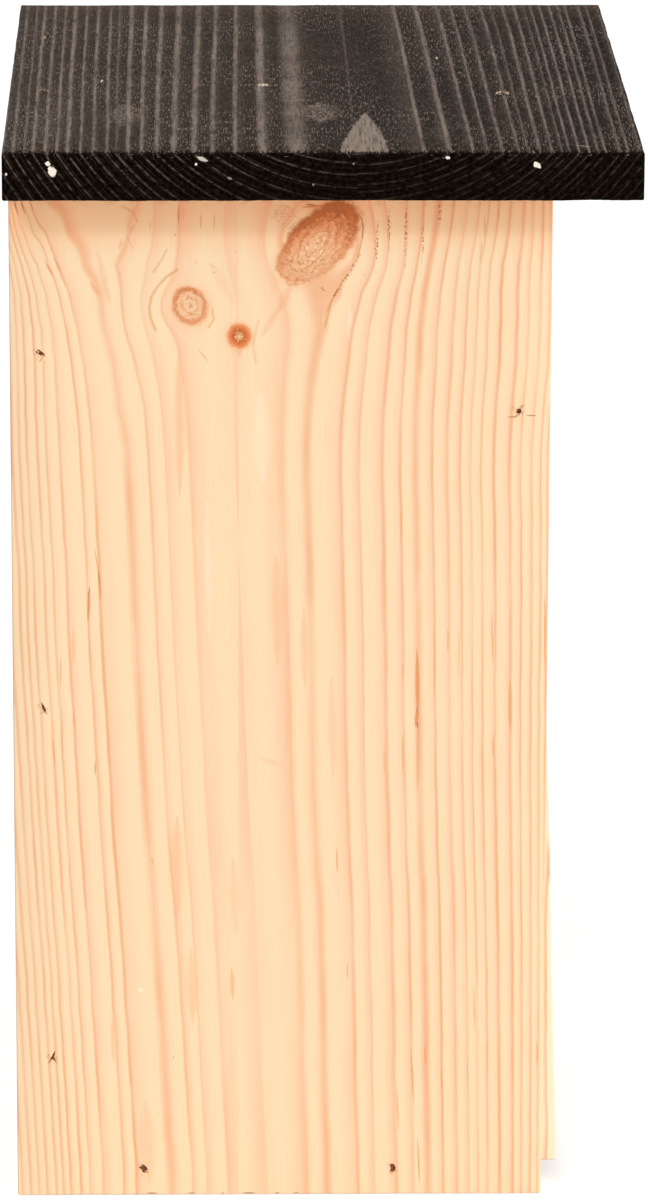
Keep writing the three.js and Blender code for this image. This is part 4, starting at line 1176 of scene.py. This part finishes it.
def upright(x, z, y):
    return (x, y, z)


past = 0.5  # how far a cutter starts outside the wood


def middleOf(node):
    low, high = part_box(node)
    return (Vector(low) + Vector(high)) / (2 * mm)


# Torn, irregular outlines in mm of the pits that the brads left, then the outline and growth of each pit; a
# growth below 0 mirrors it
pitOutlines = {
    "wedge": [(0.9, 0.9), (0.2, 0.75), (-0.5, 0.2), (-1.0, -0.45), (-0.35, -0.5), (0.1, -0.15),
              (0.55, 0.1)],
    "slash": [(0.55, 1.2), (0.2, 1.1), (-0.15, 0.3), (-0.6, -0.7), (-0.55, -1.1), (-0.1, -0.7),
              (0.3, 0.2)],
    "fork": [(-0.5, 1.2), (-0.2, 1.25), (0.15, 0.3), (0.7, -0.6), (0.85, -1.1), (0.5, -1.0),
             (0.05, -0.15), (-0.4, -0.9), (-0.85, -1.1), (-0.7, -0.7), (-0.2, 0.2), (-0.45, 0.8)],
    "lump": [(0.7, 0.7), (0.1, 0.95), (-0.5, 0.4), (-0.75, -0.3), (-0.3, -0.8), (0.2, -0.6), (0.35, 0.0),
             (0.8, 0.2)],
    "tilt": [(-0.75, 0.95), (-0.2, 1.05), (0.15, 0.55), (0.35, -0.2), (0.7, -0.85), (0.3, -1.0),
             (-0.1, -0.5), (-0.45, -0.1), (-0.4, 0.35)],
    "bean": [(0.35, 1.0), (-0.2, 0.85), (-0.55, 0.2), (-0.4, -0.65), (0.1, -0.9), (0.45, -0.5),
             (0.2, 0.0), (0.5, 0.5)],
}
pitOf = {
    "left_back_brad_3": ("wedge", 1.5), "left_back_brad_2": ("slash", 1.45),
    "left_back_brad_1": ("fork", 1.4), "left_floor_brad_1": ("lump", 1.5), "left_floor_brad_2": ("bean", 1.5),
    "right_back_brad_3": ("lump", -1.5), "right_back_brad_2": ("bean", 1.4),
    "right_back_brad_1": ("slash", -1.4), "right_floor_brad_1": ("wedge", -1.4),
    "right_floor_brad_2": ("fork", -1.4), "back_floor_brad_1": ("bean", 1.4),
    "back_floor_brad_2": ("slash", 1.4), "left_pivot_nail": ("tilt", 1.6), "right_pivot_nail": ("lump", 1.4),
    "roof_back_brad_1": ("lump", 1.3), "roof_back_brad_2": ("wedge", 1.3), "roof_rail_brad": ("bean", -1.3),
}
pitDepth = 0.46


def drivenInto(label):
    return [node for node in pitOf if node.startswith(label)]


def pits(label, place, axes):
    made = []
    for node in drivenInto(label):
        outline, growth = pitOf[node]
        middle = middleOf(node)
        points = [(middle[axes[0]] + growth * a, middle[axes[1]] + abs(growth) * b)
                  for a, b in pitOutlines[outline]]
        made.append(prismShape(points, -past, pitDepth, place))
    return made


def boxOf(node):
    low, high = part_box(node)
    return Vector(low) / mm, Vector(high) / mm


def addPiece(piece, body, slot, *nodes):
    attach(piece, body)
    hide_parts(*nodes)
    return piece


def addBoard(name, node, look, material, cutters=(), slot="pine"):
    low, high = boxOf(node)
    return addPiece(boardPiece(name, low, high, look, material, cutters), "box", slot, node)


def bore(radius, depth, place, flare=0.0, facets=24):
    mouth = [(radius + flare, -past), (radius + flare, 0.0), (radius, flare)] if flare else [(radius, -past)]
    return turnedShape([(0, -past), *mouth, (radius, depth), (0, depth)], facets, place)


def arc(x, y, radius, start, sweep, steps):
    turns = [start + sweep * k / steps for k in range(steps + 1)]
    return [(x + radius * math.cos(turn), y + radius * math.sin(turn)) for turn in turns]


sideLook = {"cell": 14.0, "arris": 0.45, "step": 1.6, "waver": 0.3}


def makeSides():
    breaks = leftGrain["zones"]
    materials = {"left": [sidePanelMaterial(leftGrain, zone) for zone in zip(breaks, breaks[1:])],
                 "right": [boardMaterial("right_side")]}
    for label, sign in (("left", -1), ("right", 1)):
        cutters = pits(label, acrossSide(sign), (1, 2))
        if sign > 0:
            x, y, z = hookLook["at"]
            cutters.append(bore(hookLook["bore"], hookLook["boreDepth"],
                                lambda a, b, depth: (x + a, y + depth, z + b), hookLook["boreEase"]))
        look = {**sideLook, "seed": 3.0 + sign}
        piece = addBoard(f"{label}_side_panel", f"{label}_side", look, materials[label][0], cutters)
        for extra in materials[label][1:]:
            piece.data.materials.append(extra)
        for face in piece.data.polygons if sign < 0 else ():
            face.material_index = sum(face.center.z > height * mm for height in breaks[1:-1])
    print("side panels made")


roofLook = {
    "cell": 14.0, "arris": 0.5, "step": 0.45, "waver": 1.0, "seed": 9.0,
    # chips in the near end's top edge: place along it, length and depth
    "chips": [((-roofEnd, y, roofTop), length, depth) for y, length, depth in (
        (57.0, 1.8, 3.0), (19.2, 1.2, 2.0), (-41.0, 1.0, 1.8), (-62.5, 1.7, 2.6), (67.2, 1.2, 2.4),
        (-7.8, 1.4, 1.0), (37.6, 0.9, 1.4), (-24.2, 0.8, 1.2), (-81.2, 1.0, 1.4))],
}


def makeRoof():
    addBoard("roof_stained_board", "roof_board", roofLook, roofMaterial(roofGrain),
             pits("roof", overRoof, (0, 1)), "stained_pine")
    print("roof made")


backLook = {
    "cell": 16.0, "arris": 0.45, "step": 2.0, "waver": 0.5, "seed": 14.0,
    "pocketRadius": 6.0, "pocketLow": 230.75, "pocketHigh": 239.25, "pocketDepth": 8.0,
    "screwBore": 1.45, "screwDepth": 8.7,
}
railLook = {"cell": 16.0, "arris": 0.4, "step": 2.0, "waver": 0.5, "seed": 17.0}
floorLook = {**railLook, "seed": 19.0, "corner": 10.0}


def makeBackAndFloor():
    look = backLook
    pocket = arc(0, look["pocketHigh"], look["pocketRadius"], 0, math.pi, 16)
    pocket += arc(0, look["pocketLow"], look["pocketRadius"], math.pi, math.pi, 16)
    cutters = pits("back", intoBack, (0, 2)) + [prismShape(pocket, -past, look["pocketDepth"], intoBack)]
    for side in ("left", "right"):
        x, _, z = middleOf(f"hanger_screw_{side}")
        cutters.append(bore(look["screwBore"], look["screwDepth"],
                            lambda a, b, depth, x=x, z=z: intoBack(x + a, z + b, depth)))
    addBoard("back_wall_board", "back_board", look, boardMaterial("back_board"), cutters)
    low, high = boxOf("floor_board")
    leg = floorLook["corner"] + 1
    cutters = []
    for x, inX in ((low.x, 1), (high.x, -1)):
        for y, inY in ((low.y, 1), (high.y, -1)):
            corner = [(x - inX, y - inY), (x + inX * leg, y - inY), (x - inX, y + inY * leg)]
            cutters.append(prismShape(corner, low.z - 1, high.z + 1, lambda a, b, c: (a, b, c)))
    addBoard("nest_floor_board", "floor_board", floorLook, boardMaterial("floor_board"), cutters)
    addBoard("front_rail_strip", "front_rail", railLook, boardMaterial("front_rail"))
    print("back, floor and rail made")


doorLook = {
    "cell": 16.0, "arris": 0.6, "step": 1.6, "waver": 0.5, "seed": 23.0,
    "low": (-72.2, -65.5, 4.0), "high": (72.2, -53.5, 244.0), "pivot": (0.0, -59.5, 208.5), "ajar": -1.9,
    "entranceHeight": 200.0, "entranceRadius": 16.0, "rimEase": 0.8,
    "ladderTops": (170.0, 158.0, 146.0, 134.0), "ladderHalf": 35.0, "ladderCut": 2.4, "ladderDepth": 1.6,
    "nailBore": 1.2, "nailDepth": 28.5, "nailEase": 0.2,
}


def makeDoor():
    look = doorLook
    low, high = look["low"], look["high"]
    radius, ease, face, back = look["entranceRadius"], look["rimEase"], low[1], high[1]
    # the entrance from outside the wood to its own width, the same from both faces
    rim = [(0, -1), (radius + ease + 0.9, -1), (radius + ease, 0), (radius + ease * 0.29, ease * 0.71),
           (radius, ease * 1.5)]
    profile = [(r, face + depth) for r, depth in rim] + [(r, back - depth) for r, depth in reversed(rim)]
    cutters = [turnedShape(profile, 96, lambda a, b, y: (a, y, look["entranceHeight"] + b))]
    for top in look["ladderTops"]:
        half, foot = look["ladderHalf"], top - look["ladderCut"]
        outline = [(-half, foot), (half, foot), (half, top), (-half, top)]
        cutters.append(prismShape(outline, back - look["ladderDepth"], back + 1, upright))
    _, y, z = look["pivot"]
    for sign in (-1, 1):
        cutters.append(bore(look["nailBore"], look["nailDepth"],
                            lambda a, b, depth, sign=sign: (sign * (high[0] - depth), y + a, z + b),
                            look["nailEase"], 18))
    pivot = Matrix.Translation(Vector(look["pivot"]) * mm)
    turn = pivot @ Matrix.Rotation(math.radians(look["ajar"]), 4, "X") @ pivot.inverted()
    piece = boardPiece("front_door_board", low, high, look, boardMaterial("front_door"), cutters, turn)
    addPiece(piece, "door", "pine", "front_door")
    print("door made")


hookLook = {
    "at": (79.0, -backFace, 40.0), "wire": 1.3, "tail": 14.0, "standoff": 6.2, "bend": 3.0, "arm": 16.0,
    "tip": 1.04, "facets": 24, "threadEnd": -1.4, "threadStep": 0.16, "pitch": 1.25, "root": 1.0,
    "crest": 1.6, "runOut": 1.2, "point": 3.0, "pointStart": 0.25,
    "bore": 1.6, "boreDepth": 14.6, "boreEase": 0.3,
}


def makeHook(metal):
    look = hookLook
    start, end, facets, tip = Vector(look["at"]), look["threadEnd"], look["facets"], look["tip"]
    places = []  # y and z from where the wire leaves the wood, and the way it runs
    y, turnAt = look["tail"], look["bend"] - look["standoff"]
    while y > end:
        places.append((y, 0.0, 0.0))
        y -= look["threadStep"]
    places += [(end + (turnAt - end) * k / 4, 0.0, 0.0) for k in range(5)]
    places += [(turnAt - look["bend"] * math.sin(angle), look["bend"] * (math.cos(angle) - 1), angle)
               for angle in (math.pi / 32 * k for k in range(1, 17))]
    fall = look["arm"] - tip - look["bend"]
    places += [(-look["standoff"], -look["bend"] - fall * k / 8, math.pi / 2) for k in range(1, 9)]
    shape, rows = bmesh.new(), []
    for y, z, angle in places:
        row = []
        for k, (a, b) in enumerate(circle(1.0, facets)):
            radius = look["wire"]
            if y > end:
                crest = 1 - abs((y / look["pitch"] + k / facets) % 1.0 - 0.5) * 2
                cut = (look["wire"] - look["root"]) * min(1.0, (y - end) / look["runOut"])
                pointed = min(1.0, look["pointStart"] + (look["tail"] - y) / look["point"])
                radius = pointed * (look["wire"] - cut * (1 - min(crest * look["crest"], 1.0)))
            out = Vector((a, b * -math.sin(angle), b * math.cos(angle)))
            row.append(shape.verts.new((start + Vector((0, y, z)) + radius * out) * mm))
        rows.append(row)
    for step in range(1, 6):
        angle = math.pi / 2 * step / 5
        centre = start + Vector((0, -look["standoff"], tip - look["arm"] - tip * math.sin(angle)))
        ring = circle(look["wire"] * math.cos(angle), facets) if step < 5 else [(0, 0)]
        rows.append([shape.verts.new((centre + Vector((a, -b, 0))) * mm) for a, b in ring])
    shape.faces.new(rows[0][::-1])
    joinRows(shape, rows)
    addPiece(toObject("bent_screw_hook", shape, metal, 50), "catch", "zinc_steel", "catch_hook")
    print("hook made")


plateLook = {
    "width": 46.0, "height": 22.0, "corner": 5.0, "low": backFace, "face": 69.0, "middle": 235.0,
    "ease": 0.22,
    "roundAt": 230.75, "round": 4.6, "slot": 2.3, "slotTop": 239.25,
    "screwHead": 2.6, "screwNeck": 1.4, "headDepth": 1.2, "screwLength": 10.0, "screwGap": 0.05,
    "dome": 0.22, "domeTurns": (0, 0.35, 0.7, 1.05, 1.35, math.pi / 2),
    "recessHalf": 1.5, "recessArm": 0.33, "recessInner": 0.429, "recessDepth": 0.75,
    "turns": {"left": 18, "right": -31},  # degrees that each screw's recess is turned
}


def makePlate(metal):
    look = plateLook
    low, face, corner = look["low"], look["face"], look["corner"]
    halfX, halfZ = look["width"] / 2 - corner, look["height"] / 2 - corner
    outline = []
    for number, (x, z) in enumerate([(halfX, halfZ), (-halfX, halfZ), (-halfX, -halfZ), (halfX, -halfZ)]):
        outline += arc(x, look["middle"] + z, corner, math.pi / 2 * number, math.pi / 2, 8)
    piece = toObject("keyhole_plate", prismShape(outline, low, face, upright), metal)
    shoulder = math.acos(look["slot"] / look["round"])
    hole = arc(0, look["slotTop"], look["slot"], 0, math.pi, 14)
    hole += arc(0, look["roundAt"], look["round"], math.pi - shoulder, math.pi + 2 * shoulder, 34)
    head, neck, gap = look["screwHead"], look["screwNeck"], look["screwGap"]
    cone = [(0, -1), (head + gap, -1), (head + gap, 0), (neck + gap, look["headDepth"]), (neck + gap, 3),
            (0, 3)]
    screws = {side: middleOf(f"hanger_screw_{side}") for side in look["turns"]}
    places = {side: lambda a, b, depth, at=at: (at.x + a, face - depth, at.z + b)
              for side, at in screws.items()}
    cutAway(piece, [prismShape(hole, low - 1, face + 1, upright),
                    *(turnedShape(cone, 40, place) for place in places.values())])
    rim = piece.modifiers.new("eased", "BEVEL")
    rim.width, rim.segments = look["ease"] * mm, 2
    rim.limit_method, rim.angle_limit = "ANGLE", math.radians(40)
    smooth(applyModifiers(piece), 35)
    addPiece(piece, "box", "zinc_steel", "hanger_plate")
    wide, arm, inner = look["recessHalf"], look["recessArm"], look["recessInner"]
    for side, place in places.items():
        body = [(head * math.sin(turn), -look["dome"] * math.cos(turn)) for turn in look["domeTurns"]]
        body += [(head - 0.02, 0.12), (neck, look["headDepth"]), (neck, look["screwLength"] - 2),
                 (0, look["screwLength"])]
        screw = toObject(f"countersunk_screw_{side}", turnedShape(body, 40, place), metal)
        cross = []
        for quarter in range(4):
            turn = math.radians(look["turns"][side] + 90 * quarter)
            cross += [(a * math.cos(turn) - b * math.sin(turn), a * math.sin(turn) + b * math.cos(turn))
                      for a, b in ((wide, arm), (inner, inner), (arm, wide))]
        cutAway(screw, [prismShape(cross, -1, look["recessDepth"], place)])
        smooth(screw.data, 30)
        addPiece(screw, "box", "zinc_steel", f"hanger_screw_{side}")
    print("hanger plate and screws made")


# Torn fibres and splinters: a Geometry Nodes tree that stands slim slivers round marked places

sliverSizes = {
    "Count": ("NodeSocketInt", 6), "Spread": ("NodeSocketFloat", 0.001), "Length": ("NodeSocketFloat", 0.001),
    "Thickness": ("NodeSocketFloat", 0.0001), "Lift": ("NodeSocketFloat", 0.4), "Seed": ("NodeSocketInt", 0),
}


def sliverTree():
    tree = bpy.data.node_groups.new("tornFibres", "GeometryNodeTree")
    tree.interface.new_socket("Geometry", in_out="INPUT", socket_type="NodeSocketGeometry")
    for label, (kind, value) in sliverSizes.items():
        tree.interface.new_socket(label, in_out="INPUT", socket_type=kind).default_value = value
    tree.interface.new_socket("Material", in_out="INPUT", socket_type="NodeSocketMaterial")
    tree.interface.new_socket("Geometry", in_out="OUTPUT", socket_type="NodeSocketGeometry")
    tree.is_modifier = True
    w = Wires(tree)
    given, result = w.node("NodeGroupInput").outputs, w.node("NodeGroupOutput").inputs

    def mark(name):
        made = w.node("GeometryNodeInputNamedAttribute", {"Name": name}, data_type="FLOAT_VECTOR")
        return made.outputs["Attribute"]

    def scatter(offset, kind="FLOAT_VECTOR", low=(-1, -1, -1), high=(1, 1, 1)):
        made = w.node("FunctionNodeRandomValue", data_type=kind)
        sockets = [socket for socket in made.inputs if socket.enabled]
        w.feed(sockets[0], low)
        w.feed(sockets[1], high)
        w.feed(made.inputs["Seed"], w.calc("ADD", given["Seed"], float(offset)))
        return [socket for socket in made.outputs if socket.enabled][0]

    many = w.node("GeometryNodeDuplicateElements", {"Geometry": given["Geometry"], "Amount": given["Count"]},
                  domain="POINT")
    face, run = mark("face"), mark("run")
    loose = w.scaled(scatter(1), given["Spread"])
    inPlane = w.vector("SUBTRACT", loose, w.scaled(face, w.vector("DOT_PRODUCT", loose, face)))
    moved = w.node("GeometryNodeSetPosition", {"Geometry": many.outputs["Geometry"], "Offset": inPlane})
    away = w.vector("ADD", w.scaled(run, scatter(2, "FLOAT", -1.0, 1.0)), w.scaled(face, given["Lift"]))
    away = w.vector("ADD", away, w.scaled(scatter(3), 0.3))
    aim = w.node("FunctionNodeAlignRotationToVector", {"Vector": away}, axis="Z")
    cone = w.node("GeometryNodeMeshCone", {
        "Vertices": 4, "Radius Top": 0.00001, "Radius Bottom": given["Thickness"], "Depth": given["Length"],
    })
    size = w.point(*(scatter(offset, "FLOAT", *span)
                     for offset, span in ((4, (0.6, 1.4)), (5, (0.4, 1.0)), (6, (0.35, 1.3)))))
    placed = w.node("GeometryNodeInstanceOnPoints", {
        "Points": moved.outputs[0], "Instance": cone.outputs["Mesh"],
        "Rotation": aim.outputs[0], "Scale": size,
    })
    solid = w.node("GeometryNodeRealizeInstances", {"Geometry": placed.outputs[0]})
    coated = w.node("GeometryNodeSetMaterial", {"Geometry": solid.outputs[0], "Material": given["Material"]})
    w.feed(result[0], coated.outputs[0])
    return tree


# Slivers at sites, each a place in mm, the way its face looks and the way its grain runs
def slivers(name, tree, sites, material, sizes):
    mesh = bpy.data.meshes.new(name)
    mesh.from_pydata([Vector(at) * mm for at, _, _ in sites], [], [])
    for label, place in (("face", 1), ("run", 2)):
        values = mesh.attributes.new(label, "FLOAT_VECTOR", "POINT")
        for number, site in enumerate(sites):
            values.data[number].vector = site[place]
    piece = bpy.data.objects.new(name, mesh)
    bpy.context.scene.collection.objects.link(piece)
    grow = piece.modifiers.new("torn", "NODES")
    grow.node_group = tree
    inputs = {**dict(zip(sliverSizes, sizes)), "Material": material}
    for item in tree.interface.items_tree:
        if item.item_type == "SOCKET" and item.in_out == "INPUT" and item.name in inputs:
            grow[item.identifier] = inputs[item.name]
    made = applyModifiers(piece)
    for label in ("face", "run"):
        if label in made.attributes:
            made.attributes.remove(made.attributes[label])
    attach(piece, "box")
    print(name, len(made.polygons), "faces")


def plainWoodMaterial(name, pale, dark):
    material, w = newMaterial(name)
    place = w.node("ShaderNodeTexCoord").outputs["Object"]
    streak = w.cloud(place, 1800.0, 2.0)
    colour = w.blend(w.between(streak, 0.35, 0.65), pale, dark)
    return finish(material, w, colour, 0.7, (streak, 0.00003, 0.3))


tornLook = {
    # where fibres stand round a brad's middle, and how far they start off the face
    "roundBack": ((0.5, 0.7), (-0.6, -0.8)), "offBack": 0.05,
    "roundSide": ((0.75, 0.8), (-0.75, -0.7), (0.2, -1.25)), "offSide": 0.02,
    "roundRoof": ((0.9, 0.5), (-0.9, -0.4), (0.3, -0.9)), "offRoof": 0.02,
    # along the roof's sawn edge: the first place and the step from it, with one in every five left out
    "first": 66.0, "step": 1.9, "count": 81, "every": 5, "leftOut": 2, "inward": 0.25, "below": 0.15,
    # each group's values in the order of sliverSizes
    "woodSizes": (3, 0.0005, 0.0009, 0.00013, 0.45, 5),
    "roofSizes": (4, 0.0007, 0.0013, 0.00018, 0.4, 8),
    "edgeSizes": (2, 0.0012, 0.0008, 0.00007, 0.25, 21),
}


def makeTornFibres():
    look, tree = tornLook, sliverTree()
    fresh = plainWoodMaterial("torn_pine", shade(255, 232, 198), shade(240, 196, 150))
    dusty = plainWoodMaterial("torn_roof_pine", shade(186, 160, 136), shade(96, 82, 74))
    sites = []
    for node in pitOf:
        x, y, z = middleOf(node)
        if node.startswith("back"):
            sites += [((x + a, backFace + look["offBack"], z + b), (0, 1, 0), (0, 0, 1))
                      for a, b in look["roundBack"]]
        elif not node.startswith("roof"):
            sign = -1 if node.startswith("left") else 1
            sites += [((sign * (sideFace + look["offSide"]), y + a, z + b), (sign, 0, 0), (0, 0, 1))
                      for a, b in look["roundSide"]]
    slivers("torn_fibres", tree, sites, fresh, look["woodSizes"])
    sites = []
    for node in drivenInto("roof"):
        x, y, _ = middleOf(node)
        sites += [((x + a, y + b, roofTop + look["offRoof"]), (0, 0, 1), (1, 0, 0))
                  for a, b in look["roundRoof"]]
    slivers("roof_torn_fibres", tree, sites, dusty, look["roofSizes"])
    sites = [((look["inward"] - roofEnd, look["first"] - look["step"] * k, roofTop - look["below"]),
              (-0.7, 0, 0.7), (0, 1, 0))
             for k in range(look["count"]) if k % look["every"] != look["leftOut"]]
    slivers("roof_edge_fibres", tree, sites, dusty, look["edgeSizes"])


placeCamera(photoView)
lightRoom()
zinc, wire = zincMaterial(), wireMaterial()
makeSides()
makeRoof()
makeBackAndFloor()
makeDoor()
makeHook(zinc)
makePlate(zinc)
makeTornFibres()
for name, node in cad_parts.items():
    if "brad" in name or "nail" in name:
        node.data.materials.clear()
        node.data.materials.append(wire)
